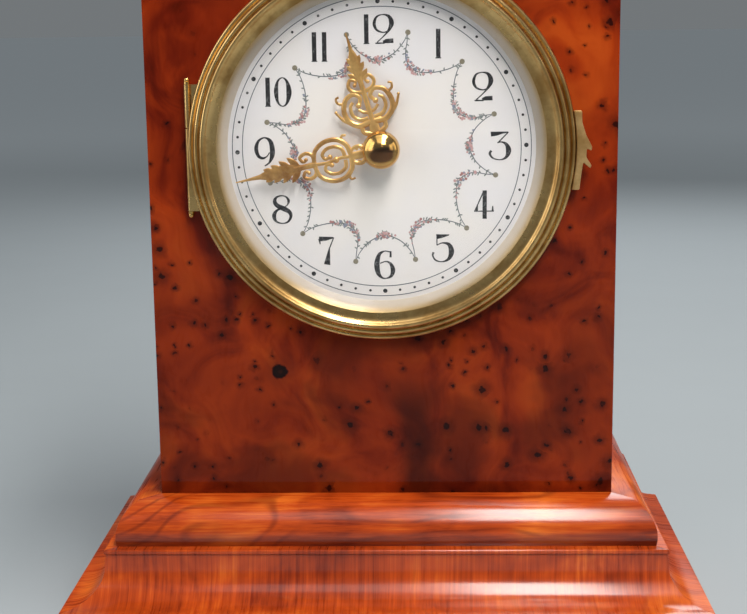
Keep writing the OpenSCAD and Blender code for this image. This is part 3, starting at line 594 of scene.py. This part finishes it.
def dress_mouldings(side, axis, shine):
    """Base moulding, plinth and cornice of one side, whose grain runs along X (0) or Y (1)."""
    seed = 2.0 + axis
    curly = grain_material(f"curly_{side}", seed, along(axis, 0.012, 0.03), along(axis, 0.04, 0.8),
                           shine, MOULDING_JOINT)
    cross = grain_material(f"cross_{side}", seed + 3, along(axis, 0.025, 0.01), along(axis, 0.9, 0.03),
                           shine, veins=0.22)
    dress(f"base_moulding_{side}", curly, 0.25)
    dress(f"plinth_{side}", cross, 0.3)
    dress(f"cornice_{side}", curly, 0.2)


def dress_case():
    """Wood for the panels, mouldings, cap and boards."""
    dress("front_panel", burr_material("burr_front", 3.7, 0, knot=True), 0.3)
    dress("side_panel_left", burr_material("burr_left", 8.7, 1), 0.3)
    dress("side_panel_right", burr_material("burr_right", 13.7, 1), 0.3)
    dress_mouldings("front", 0, 1.0)
    dress_mouldings("left", 1, 0.12)
    dress_mouldings("right", 1, 0.12)
    dress("top_cap", grain_material("curly_cap", 8.0, along(0, 0.008, 0.035), along(0, 0.03, 0.8)), 0.4)
    plain = board_material("stained_board", 1.0, srgb(128, 62, 30), srgb(78, 34, 16))
    for node in ("base_block", "case_top", "back_frame"):
        dress(node, plain, 0.3)
    dress("back_door", board_material("door_board", 4.0, srgb(140, 70, 32), srgb(86, 38, 18)), 0.3)


def dress_metal():
    """Brass and steel for the bezel, fittings and movement."""
    gold, worn = srgb(214, 178, 118), srgb(160, 122, 70)
    turned = brass_material("bezel_brass", gold, worn, 0.24, turned=True)
    for node in ("bezel_ring", "bezel_base_ring"):
        dress(node, turned, angle=40)
    polished = brass_material("polished_brass", srgb(212, 172, 104), worn, 0.14)
    for node in ("bezel_hinge_pin", "feet", "back_door_knob",
                 "door_hinge_frame_leaves", "door_hinge_door_leaves"):
        dress(node, polished, angle=40)
    dress("sight_ring", sight_material(), angle=40)
    dress("hand_knob", knob_material(), angle=50)
    tab = brass_material("tab_brass", srgb(222, 184, 128), worn, 0.34, metal=0.75)
    dress("bezel_pull_tab", tab, 0.35)
    plate = brass_material("movement_brass", srgb(206, 170, 104), srgb(176, 138, 78), 0.28)
    inside = {"movement_brass": plate, "steel": steel_material()}
    for item in frame["record"]["subparts"]:
        material = inside.get(item["material_slot"])
        if material:
            dress(item["node"], material)


# ---- solids made of flat strips and swept tubes ----

def solid_from(name, material, parts):
    """One mesh from (vertices, faces) parts."""
    verts, faces = [], []
    for v, f in parts:
        base = len(verts)
        verts += [tuple(p) for p in v]
        faces += [tuple(i + base for i in face) for face in f]
    mesh = bpy.data.meshes.new(name)
    mesh.from_pydata(verts, [], faces)
    bm = bmesh.new()
    bm.from_mesh(mesh)
    bmesh.ops.recalc_face_normals(bm, faces=bm.faces)
    bm.to_mesh(mesh)
    bm.free()
    mesh.materials.append(material)
    o = bpy.data.objects.new(name, mesh)
    scene.collection.objects.link(o)
    return o


def disc(x, y, r, low, high, sides=20, squeeze=1.0, turn=0.0):
    """A round or oval flat disc on the dial, between two heights above its face."""
    c, s = math.cos(turn), math.sin(turn)
    pts = []
    for i in range(sides):
        a = 2 * math.pi * i / sides
        u, v = r * math.cos(a), r * squeeze * math.sin(a)
        pts.append((x + u * c - v * s, y + u * s + v * c))
    verts = [on_dial(px, py, low) for px, py in pts] + [on_dial(px, py, high) for px, py in pts]
    faces = [tuple(range(sides)), tuple(range(sides, 2 * sides))]
    faces += [(i, (i + 1) % sides, (i + 1) % sides + sides, i + sides) for i in range(sides)]
    return verts, faces


def strip(points, widths, low, high, closed=False):
    """A flat ribbon of changing width along points on the dial."""
    n = len(points)
    left, right = [], []
    for i, (x, y) in enumerate(points):
        before = points[i - 1] if i or closed else points[i]
        after = points[(i + 1) % n] if i < n - 1 or closed else points[i]
        dx, dy = after[0] - before[0], after[1] - before[1]
        size = math.hypot(dx, dy) or 1
        half = widths[i] / 2
        left.append((x - dy / size * half, y + dx / size * half))
        right.append((x + dy / size * half, y - dx / size * half))
    ring = [on_dial(*p, low) for p in left] + [on_dial(*p, low) for p in right]
    ring += [on_dial(*p, high) for p in left] + [on_dial(*p, high) for p in right]
    faces = []
    for i in range(n if closed else n - 1):
        j = (i + 1) % n
        faces += [(i, j, n + j, n + i), (2 * n + i, 2 * n + j, 3 * n + j, 3 * n + i),
                  (i, j, 2 * n + j, 2 * n + i), (n + i, n + j, 3 * n + j, 3 * n + i)]
    if not closed:
        faces += [(0, n, 3 * n, 2 * n), (n - 1, 2 * n - 1, 4 * n - 1, 3 * n - 1)]
    return ring, faces


def curve_through(points, steps=8, closed=False):
    """A smooth Catmull-Rom line through given points."""
    n = len(points)
    out = []
    for i in range(n if closed else n - 1):
        a = points[(i - 1) % n] if closed or i else points[0]
        b, c = points[i], points[(i + 1) % n]
        d = points[(i + 2) % n] if closed or i < n - 2 else points[-1]
        for k in range(steps):
            t = k / steps
            out.append(tuple(
                0.5 * (2 * q + (r - p) * t + (2 * p - 5 * q + 4 * r - s) * t * t
                       + (3 * q - p - 3 * r + s) * t ** 3)
                for p, q, r, s in zip(a, b, c, d)))
    return out if closed else out + [tuple(points[-1])]


# ---- dial printing ----

# Sizes in mm; a film of ink starts just under the dial's face and stands just above it
PRINT_LOW, PRINT_HIGH = -0.02, 0.035
NUMERAL_R, NUMERAL_H = 34.9, 8.5
STEM = 1.3                          # the full pen width
GAP = 0.11                          # between two digits, in numeral heights
STROKE_STEP = 0.001                 # strokes that cross differ by this in height, so no faces coincide

# Digits in a box one high: width, then strokes of (across, up, pen width in stems)
DIGITS = {
    "0": (0.57, [("loop", [(0.285, 0.99, 0.25), (0.12, 0.86, 0.5), (0.06, 0.5, 1.0), (0.12, 0.14, 0.5),
                           (0.285, 0.01, 0.25), (0.44, 0.14, 0.6), (0.51, 0.5, 1.2), (0.44, 0.86, 0.6)])]),
    "1": (0.24, [("line", [(0.12, 0.0, 1.0), (0.12, 1.0, 1.0)]),
                 ("line", [(0.02, 0.012, 0.22), (0.22, 0.012, 0.22)])]),
    "2": (0.71, [("curve", [(0.50, 0.42, 0.25), (0.34, 0.385, 0.3), (0.13, 0.47, 0.5), (0.045, 0.68, 0.7),
                            (0.13, 0.91, 0.45), (0.34, 0.985, 0.25), (0.55, 0.92, 0.7), (0.64, 0.71, 1.1),
                            (0.57, 0.50, 0.7), (0.40, 0.29, 0.3), (0.14, 0.05, 0.25)]),
                 ("line", [(0.08, 0.02, 0.3), (0.40, 0.02, 0.3)]),
                 ("line", [(0.34, 0.06, 0.5), (0.46, 0.09, 0.95), (0.70, 0.10, 1.0)])]),
    "3": (0.77, [("line", [(0.09, 0.90, 1.1), (0.30, 0.915, 0.9), (0.50, 0.95, 0.45), (0.70, 0.965, 0.25)]),
                 ("line", [(0.70, 0.965, 0.25), (0.36, 0.62, 0.28)]),
                 ("curve", [(0.32, 0.60, 0.28), (0.47, 0.625, 0.3), (0.63, 0.54, 0.75), (0.71, 0.33, 1.2),
                            (0.63, 0.10, 0.65), (0.43, 0.01, 0.25), (0.18, 0.06, 0.35), (0.06, 0.21, 0.55),
                            (0.11, 0.33, 0.5)])]),
    "4": (0.72, [("line", [(0.375, 0.0, 0.98), (0.375, 1.0, 0.98)]),
                 ("line", [(0.33, 0.95, 0.3), (0.03, 0.28, 0.25)]),
                 ("line", [(0.0, 0.27, 0.25), (0.70, 0.27, 0.25)]),
                 ("line", [(0.10, 0.27, 0.55), (0.125, 0.5, 0.2)]),
                 ("line", [(0.655, 0.25, 0.5), (0.655, 0.45, 0.25)])]),
    "5": (0.75, [("line", [(0.17, 0.905, 1.15), (0.36, 0.92, 0.85), (0.62, 0.965, 0.25)]),
                 ("line", [(0.19, 0.9, 0.25), (0.19, 0.6, 0.25)]),
                 ("curve", [(0.19, 0.60, 0.25), (0.38, 0.68, 0.3), (0.61, 0.62, 0.8), (0.70, 0.38, 1.25),
                            (0.61, 0.12, 0.75), (0.39, 0.012, 0.28), (0.15, 0.06, 0.35), (0.04, 0.23, 0.4),
                            (0.07, 0.35, 0.5)])]),
    "6": (0.71, [("line", [(0.57, 0.76, 0.5), (0.575, 0.985, 0.4)]),
                 ("curve", [(0.57, 0.95, 0.3), (0.36, 0.985, 0.28), (0.17, 0.86, 0.8), (0.085, 0.54, 1.25),
                            (0.12, 0.22, 1.05), (0.25, 0.04, 0.5), (0.42, 0.012, 0.28), (0.59, 0.10, 0.7),
                            (0.65, 0.31, 1.05), (0.57, 0.53, 0.65), (0.41, 0.615, 0.28),
                            (0.2, 0.55, 0.28)])]),
    "7": (0.54, [("line", [(0.02, 0.92, 1.15), (0.27, 0.93, 0.9), (0.54, 0.965, 0.28)]),
                 ("line", [(0.03, 0.92, 0.5), (0.06, 0.73, 0.2)]),
                 ("line", [(0.54, 0.965, 0.25), (0.38, 0.57, 0.3), (0.29, 0.0, 1.5)])]),
    "8": (0.70, [("loop", [(0.58, 0.80, 0.6), (0.50, 0.94, 0.4), (0.33, 0.99, 0.28), (0.15, 0.93, 0.5),
                           (0.09, 0.78, 0.9), (0.18, 0.64, 1.0), (0.40, 0.53, 1.15), (0.59, 0.42, 0.95),
                           (0.65, 0.26, 0.7), (0.55, 0.07, 0.45), (0.35, 0.01, 0.28), (0.13, 0.08, 0.5),
                           (0.055, 0.27, 0.95), (0.14, 0.45, 0.6), (0.34, 0.55, 0.28), (0.52, 0.65, 0.28)])]),
    "9": (0.67, [("curve", [(0.34, 0.0, 0.25), (0.52, 0.14, 0.5), (0.62, 0.44, 1.15), (0.57, 0.83, 0.95),
                            (0.37, 0.985, 0.35), (0.15, 0.88, 0.55), (0.055, 0.62, 0.9), (0.12, 0.36, 0.75),
                            (0.27, 0.27, 0.55), (0.42, 0.33, 0.28), (0.52, 0.47, 0.25)])]),
}


def digit_parts(text, cx, cy):
    """The strokes of a numeral, centred on a point of the dial."""
    total = sum(DIGITS[c][0] for c in text) + GAP * (len(text) - 1)
    start = -total / 2
    parts = []
    for c in text:
        wide, strokes = DIGITS[c]
        for kind, points in strokes:
            line = points if kind == "line" else curve_through(points, 10, kind == "loop")
            places = [(cx + (start + x) * NUMERAL_H, cy + (y - 0.5) * NUMERAL_H) for x, y, _ in line]
            widths = [w * STEM for _, _, w in line]
            lift = STROKE_STEP * (len(parts) % 5)
            parts.append(strip(places, widths, PRINT_LOW, PRINT_HIGH + lift, kind == "loop"))
        start += wide + GAP
    return parts


TRACK_IN, TRACK_OUT = 41.4, 44.4    # the minute track's two circles
TRACK_LINE = 0.25
MINUTE_DOT, HOUR_DOT, HALF_HOUR_DOT = 0.4, 0.66, 0.78           # radii
HALF_HOUR_HIGH = 0.06
PRINT_TURN = -0.9                   # the dial is fitted a little anticlockwise, in degrees
GARLAND_TURN = -0.6                 # and the painted garland is a little off the hours, as on hand work
GARLAND_R = 34.8
GARLAND_HIGH, LEAF_HIGH, FLOWER_HIGH = 0.03, 0.034, 0.042
LEAF_R, LEAF_NARROW = 0.5, 0.4
FLOWER_R = 0.22                     # of the smallest flower; the largest is twice that
BLOOM_REACH = 0.27                  # how far the flowers spread, as a part of the line


def ring_line(radius):
    """One printed circle of the minute track."""
    count = 144
    points = [polar(radius, i * 360 / count) for i in range(count)]
    return strip(points, [TRACK_LINE] * count, PRINT_LOW, PRINT_HIGH, closed=True)


# Garland lines in mm between two dots: along the chord from the first dot, then inwards
CHORD = 18.0
EVEN_GARLAND = [(0, 0), (1.3, 2.6), (4.0, 5.6), (7.4, 7.4), (9.0, 7.7), (10.6, 7.4), (14.0, 5.6),
                (16.7, 2.6), (18.0, 0)]
SIDE_GARLAND = [(0, 0), (1.1, 2.6), (2.0, 5.2), (3.4, 7.3), (5.6, 8.6), (8.2, 8.6), (11.4, 7.1),
                (14.0, 5.2), (16.4, 2.7), (18.0, 0)]


def garland(k):
    """Line of the garland around an hour; it is steeper from the dot beside 12, 3, 6 or 9."""
    near, far, inward = 30 * k - 15 + PRINT_TURN, 30 * k + 15 + PRINT_TURN, 1
    if k % 3 == 2:
        near, far, inward = far, near, -1
    a, b = polar(GARLAND_R, near + GARLAND_TURN), polar(GARLAND_R, far + GARLAND_TURN)
    size = math.hypot(b[0] - a[0], b[1] - a[1])
    ux, uy = (b[0] - a[0]) / size, (b[1] - a[1]) / size
    stretch = size / CHORD
    line = []
    for s, d in SIDE_GARLAND if k % 3 else EVEN_GARLAND:
        x = a[0] + ux * s * stretch + inward * uy * d
        y = a[1] + uy * s * stretch - inward * ux * d
        line.append((x, y))
    return curve_through(line, 5)


def add_leaves(parts, rng, x, y, way, thick):
    """A leaf on either side of the line, or none; more and longer where the flowers are thick."""
    for side in (-1, 1):
        if rng.random() < 0.25 + 0.7 * thick:
            lean = way + side * (0.7 + 0.6 * rng.random())
            off = 0.4 + 0.9 * thick * rng.random()
            high = LEAF_HIGH + 0.004 * rng.random()
            leaf_x, leaf_y = x + off * math.cos(lean), y + off * math.sin(lean)
            parts.append(disc(leaf_x, leaf_y, LEAF_R, PRINT_LOW, high, 10, LEAF_NARROW, lean))


def add_flowers(pieces, rng, x, y, way, thick):
    """Up to three roses or buds across the line."""
    kinds = ["garland_roses", "garland_roses", "garland_red_buds", "garland_blue_buds"]
    for _ in range(3):
        if rng.random() < 0.8 * thick:
            parts = pieces[rng.choice(kinds)][1]
            away = (rng.random() - 0.5) * (0.9 + 1.7 * thick)
            r = FLOWER_R + FLOWER_R * rng.random()
            high = FLOWER_HIGH + 0.006 * rng.random()
            flower_x, flower_y = x - away * math.sin(way), y + away * math.cos(way)
            parts.append(disc(flower_x, flower_y, r, PRINT_LOW, high, 12))


def garland_parts(pieces):
    """Lines, leaves, roses and buds of the twelve garlands."""
    rng = random.Random(7)
    for k in range(12):
        line = garland(k)
        last = len(line) - 1
        bloom = 0.46 if k % 3 else 0.5      # where the flowers gather along the line
        widths = [0.2 + 0.12 * math.sin(math.pi * i / last) for i in range(last + 1)]
        pieces["garland_lines"][1].append(strip(line, widths, PRINT_LOW, GARLAND_HIGH))
        for i in range(3, last - 2):
            thick = max(0.0, 1 - abs(i / last - bloom) / BLOOM_REACH)
            x, y = line[i]
            way = math.atan2(line[i + 1][1] - y, line[i + 1][0] - x)
            add_leaves(pieces["garland_leaves"][1], rng, x, y, way, thick)
            add_flowers(pieces, rng, x, y, way, thick)


def print_dial():
    """Numerals, minute track, half-hour dots and garlands, as thin closed films of paint."""
    ink = print_material("ink_black", srgb(30, 29, 32))
    grey = print_material("ink_grey", srgb(92, 98, 106))
    numerals = []
    for hour in range(1, 13):
        numerals += digit_parts(str(hour), *polar(NUMERAL_R, hour * 30 + PRINT_TURN))
    dots = []
    for minute in range(60):
        place = polar((TRACK_IN + TRACK_OUT) / 2, minute * 6 + PRINT_TURN)
        dots.append(disc(*place, MINUTE_DOT if minute % 5 else HOUR_DOT, PRINT_LOW, PRINT_HIGH))
    half_hours = []
    for k in range(12):
        place = polar(GARLAND_R, 15 + 30 * k + PRINT_TURN + GARLAND_TURN)
        half_hours.append(disc(*place, HALF_HOUR_DOT, PRINT_LOW, HALF_HOUR_HIGH))
    pieces = {
        "dial_numerals": (ink, numerals),
        "minute_dots": (ink, dots),
        "minute_track": (grey, [ring_line(TRACK_IN), ring_line(TRACK_OUT)]),
        "half_hour_dots": (print_material("ink_gold", srgb(134, 126, 106), 0.35), half_hours),
        "garland_lines": (grey, []),
        "garland_leaves": (print_material("ink_green", srgb(120, 127, 124)), []),
        "garland_roses": (print_material("ink_rose", srgb(198, 156, 154)), []),
        "garland_red_buds": (print_material("ink_red", srgb(168, 116, 112)), []),
        "garland_blue_buds": (print_material("ink_blue", srgb(136, 140, 158)), []),
    }
    garland_parts(pieces)
    for name, (material, parts) in pieces.items():
        o = solid_from(name, material, parts)
        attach(o, "case")


# ---- hands ----

def tube(points, radii, middle, flat=0.5, sides=10):
    """A flattened rod along dial points, whose middle is at a height above the dial's face."""
    n = len(points)
    verts, faces = [], []
    for i, (x, y) in enumerate(points):
        a = points[max(i - 1, 0)]
        b = points[min(i + 1, n - 1)]
        size = math.hypot(b[0] - a[0], b[1] - a[1]) or 1
        nx, ny = -(b[1] - a[1]) / size, (b[0] - a[0]) / size
        for k in range(sides):
            s = 2 * math.pi * k / sides
            u, h = radii[i] * math.cos(s), radii[i] * flat * math.sin(s)
            verts.append(on_dial(x + nx * u, y + ny * u, middle + h))
    for i in range(n - 1):
        for k in range(sides):
            j = (k + 1) % sides
            faces.append((i * sides + k, i * sides + j, (i + 1) * sides + j, (i + 1) * sides + k))
    faces.append(tuple(range(sides)))
    faces.append(tuple(range((n - 1) * sides, n * sides)))
    return verts, faces


def ball(x, y, r, middle, flat=0.7, rings=6, sides=12):
    """A flattened ball, as at the end of a scroll."""
    verts = [on_dial(x, y, middle - r * flat)]
    faces = []
    for i in range(1, rings):
        lat = -math.pi / 2 + math.pi * i / rings
        for k in range(sides):
            s = 2 * math.pi * k / sides
            verts.append(on_dial(x + r * math.cos(lat) * math.cos(s), y + r * math.cos(lat) * math.sin(s),
                                 middle + r * flat * math.sin(lat)))
    verts.append(on_dial(x, y, middle + r * flat))
    last = len(verts) - 1
    for k in range(sides):
        j = (k + 1) % sides
        faces.append((0, 1 + j, 1 + k))
        faces.append((last, last - sides + k, last - sides + j))
        for i in range(rings - 2):
            a = 1 + i * sides
            faces.append((a + k, a + j, a + sides + j, a + sides + k))
    return verts, faces


BEAD_LIFT = 0.1                     # beads stand this far in front of the rods, in mm
LEAF_POINT = 0.06                   # radius of a leaf's point, in mm


class Hand:
    """Collects the parts of one hand, drawn pointing at twelve and turned to its angle."""

    def __init__(self, angle, middle):
        self.angle = math.radians(angle)
        self.middle = middle
        self.parts = []

    def turned(self, p):
        c, s = math.cos(self.angle), math.sin(self.angle)
        return (p[0] * c + p[1] * s, -p[0] * s + p[1] * c)

    def rod(self, points, thick, thin, smooth=True, flat=0.5):
        """A rod whose radius runs from thick to thin, curved unless smooth is off."""
        line = curve_through(points, 7) if smooth else points
        n = len(line) - 1
        radii = [thick + (thin - thick) * i / n for i in range(n + 1)]
        self.parts.append(tube([self.turned(p) for p in line], radii, self.middle, flat))

    def both(self, points, thick, thin):
        """The same rod on both sides of the hand."""
        self.rod(points, thick, thin)
        self.rod([(-x, y) for x, y in points], thick, thin)

    def bead(self, x, y, r):
        self.parts.append(ball(*self.turned((x, y)), r, self.middle + BEAD_LIFT))

    def beads(self, x, y, r):
        """The same bead on both sides of the hand."""
        self.bead(x, y, r)
        self.bead(-x, y, r)

    def leaf(self, root, tip, wide, thick=0.45):
        """A pointed leaf, rounded across and widest just before its middle."""
        (x0, y0), (x1, y1) = root, tip
        n = 9
        line, radii = [], []
        for i in range(n + 1):
            line.append(self.turned((x0 + (x1 - x0) * i / n, y0 + (y1 - y0) * i / n)))
            swell = math.sin(math.pi * min(1, 0.12 + 0.88 * i / n)) ** 0.8
            radii.append(max(LEAF_POINT, wide * swell))
        self.parts.append(tube(line, radii, self.middle, 0.35 * thick / wide))

    def leaves(self, x0, y0, x1, y1, wide):
        """The same leaf on both sides of the hand."""
        for side in (-1, 1):
            self.leaf((side * x0, y0), (side * x1, y1), wide)


def hand_angle(node):
    """Clockwise angle from twelve of a hand's far end, read from its CAD node."""
    far = max((v.co for v in frame["nodes"][node].data.vertices),
              key=lambda p: (p.x - DIAL_X) ** 2 + (p.z - DIAL_Z) ** 2)
    return math.degrees(math.atan2(far.x - DIAL_X, far.z - DIAL_Z)) % 360


def collar(hand, inner, outer, low, high):
    """The round boss that grips a hand's pipe."""
    sides = 40
    verts, faces = [], []
    for r, h in ((inner, low), (outer, low), (outer, high), (inner, high)):
        for k in range(sides):
            a = 2 * math.pi * k / sides
            verts.append(on_dial(r * math.cos(a), r * math.sin(a), h))
    for q in range(4):
        for k in range(sides):
            j = (k + 1) % sides
            a, b = q * sides, (q + 1) % 4 * sides
            faces.append((a + k, a + j, b + j, b + k))
    hand.parts.append((verts, faces))


def hand_depth(node):
    """Heights of a hand's back and front above the dial's face, in mm."""
    low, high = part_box(node)
    return (DIAL_FACE - high.y) / MM, (DIAL_FACE - low.y) / MM


def make_minute_hand(gilt):
    """Boss, oval scrollwork, a small pair of scrolls, stepped leaves and a long point."""
    low, high = hand_depth("minute_hand")
    hand = Hand(hand_angle("minute_hand"), (low + high) / 2)
    collar(hand, 1.5, 3.5, low, high)
    hand.rod([(0, 3.2), (0, 6.2), (0, 9.8)], 1.4, 1.1, flat=0.3)
    hand.both([(0.6, 4.6), (2.4, 6.0), (2.2, 8.0), (0.9, 9.2)], 0.7, 0.45)
    for y in (5.0, 7.0):
        hand.leaves(1.4, y, 3.1, y - 0.2, 0.5)
    hand.both([(0.4, 9.0), (3.6, 9.7), (5.8, 12.4), (5.8, 16.2), (3.8, 19.2), (0.7, 20.2)], 0.78, 0.62)
    hand.both([(0.6, 10.9), (2.7, 11.3), (3.9, 13.3), (3.7, 15.8), (2.3, 17.3), (0.9, 16.7), (1.1, 15.4)],
              0.58, 0.45)
    hand.beads(1.2, 15.2, 0.75)
    hand.bead(0, 13.6, 1.0)
    hand.rod([(0, 9.4), (0.3, 12.2), (-0.3, 16.5), (0, 20.0)], 0.5, 0.5)
    hand.both([(5.3, 10.9), (6.5, 10.4), (6.4, 9.2)], 0.45, 0.3)
    hand.both([(0.3, 20.0), (2.8, 20.3), (3.8, 22.2), (2.9, 24.0), (1.5, 23.3), (1.9, 22.2)], 0.62, 0.42)
    hand.beads(2.0, 22.3, 0.6)
    hand.rod([(0, 19.6), (0, 26.4)], 0.85, 0.8, smooth=False)
    for y, wide in ((24.8, 3.8), (27.4, 3.3), (30.0, 2.6), (32.4, 1.9)):
        hand.leaves(0.4, y, wide, y + 3.0, 0.95)
    hand.leaf((0, 24.2), (0, 38.4), 1.95, 0.7)
    hand.rod([(0, 36.4), (0, 39.5), (0, 44.2)], 0.75, 0.16, smooth=False)
    finish_hand(hand, "minute_hand", "minute_arbor", gilt)


def make_hour_hand(gilt):
    """Boss, round scrollwork with side spurs, a small pair of scrolls, leaves and a short point."""
    low, high = hand_depth("hour_hand")
    hand = Hand(hand_angle("hour_hand"), (low + high) / 2)
    collar(hand, 3.0, 4.6, low, high)
    hand.rod([(0, 4.4), (0, 9.0)], 1.6, 1.4, smooth=False, flat=0.3)
    hand.both([(1.2, 5.0), (3.3, 6.2), (3.2, 8.2), (1.4, 9.2)], 0.8, 0.5)
    hand.both([(0.6, 8.6), (4.0, 8.4), (6.7, 10.6), (7.2, 13.8), (5.8, 16.8), (3.2, 17.7), (1.6, 16.2),
               (2.4, 14.4)], 0.92, 0.55)
    hand.beads(2.6, 14.2, 0.85)
    hand.both([(0.9, 9.8), (3.5, 10.1), (5.1, 12.0), (5.0, 14.4), (3.9, 15.5)], 0.62, 0.45)
    hand.both([(0, 11.4), (1.8, 11.9), (3.0, 13.0)], 0.5, 0.4)
    hand.both([(6.0, 9.6), (7.9, 11.0), (9.1, 13.0), (9.7, 14.2)], 0.55, 0.3)
    hand.beads(9.6, 14.1, 0.48)
    hand.both([(6.6, 15.6), (8.2, 16.4), (8.5, 17.8), (7.5, 18.2)], 0.45, 0.3)
    hand.rod([(0, 8.4), (0, 22.0)], 0.75, 0.75, smooth=False)
    hand.both([(0.2, 17.6), (2.7, 18.2), (3.9, 20.0), (2.9, 21.9), (1.5, 21.2), (1.9, 20.1)], 0.62, 0.42)
    hand.beads(2.0, 20.1, 0.6)
    for y, wide in ((21.2, 3.0), (23.4, 2.6), (25.6, 2.0)):
        hand.leaves(0.3, y, wide, y + 2.6, 0.85)
    hand.leaf((0, 20.6), (0, 31.2), 1.7, 0.7)
    hand.rod([(0, 29.2), (0, 31.6), (0, 35.2)], 0.7, 0.16, smooth=False)
    finish_hand(hand, "hour_hand", "hour_pipe", gilt)


def finish_hand(hand, node, body, gilt):
    """Joins a hand's parts into the piece that stands for its CAD node."""
    o = solid_from(f"{node}_filigree", gilt, hand.parts)
    for polygon in o.data.polygons:
        polygon.use_smooth = True
    smooth_by_angle(o, 45)
    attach(o, body)
    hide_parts(node)


# ---- build ----

make_camera()
make_studio()
dress_case()
dress_metal()
dress("dial_plate", enamel_material(), angle=40)
dress("bezel_glass", glass_material(), angle=40)
print_dial()
gilt_metal = brass_material("gilt", srgb(236, 190, 118), srgb(150, 96, 44), 0.3, metal=0.7)
make_minute_hand(gilt_metal)
make_hour_hand(gilt_metal)
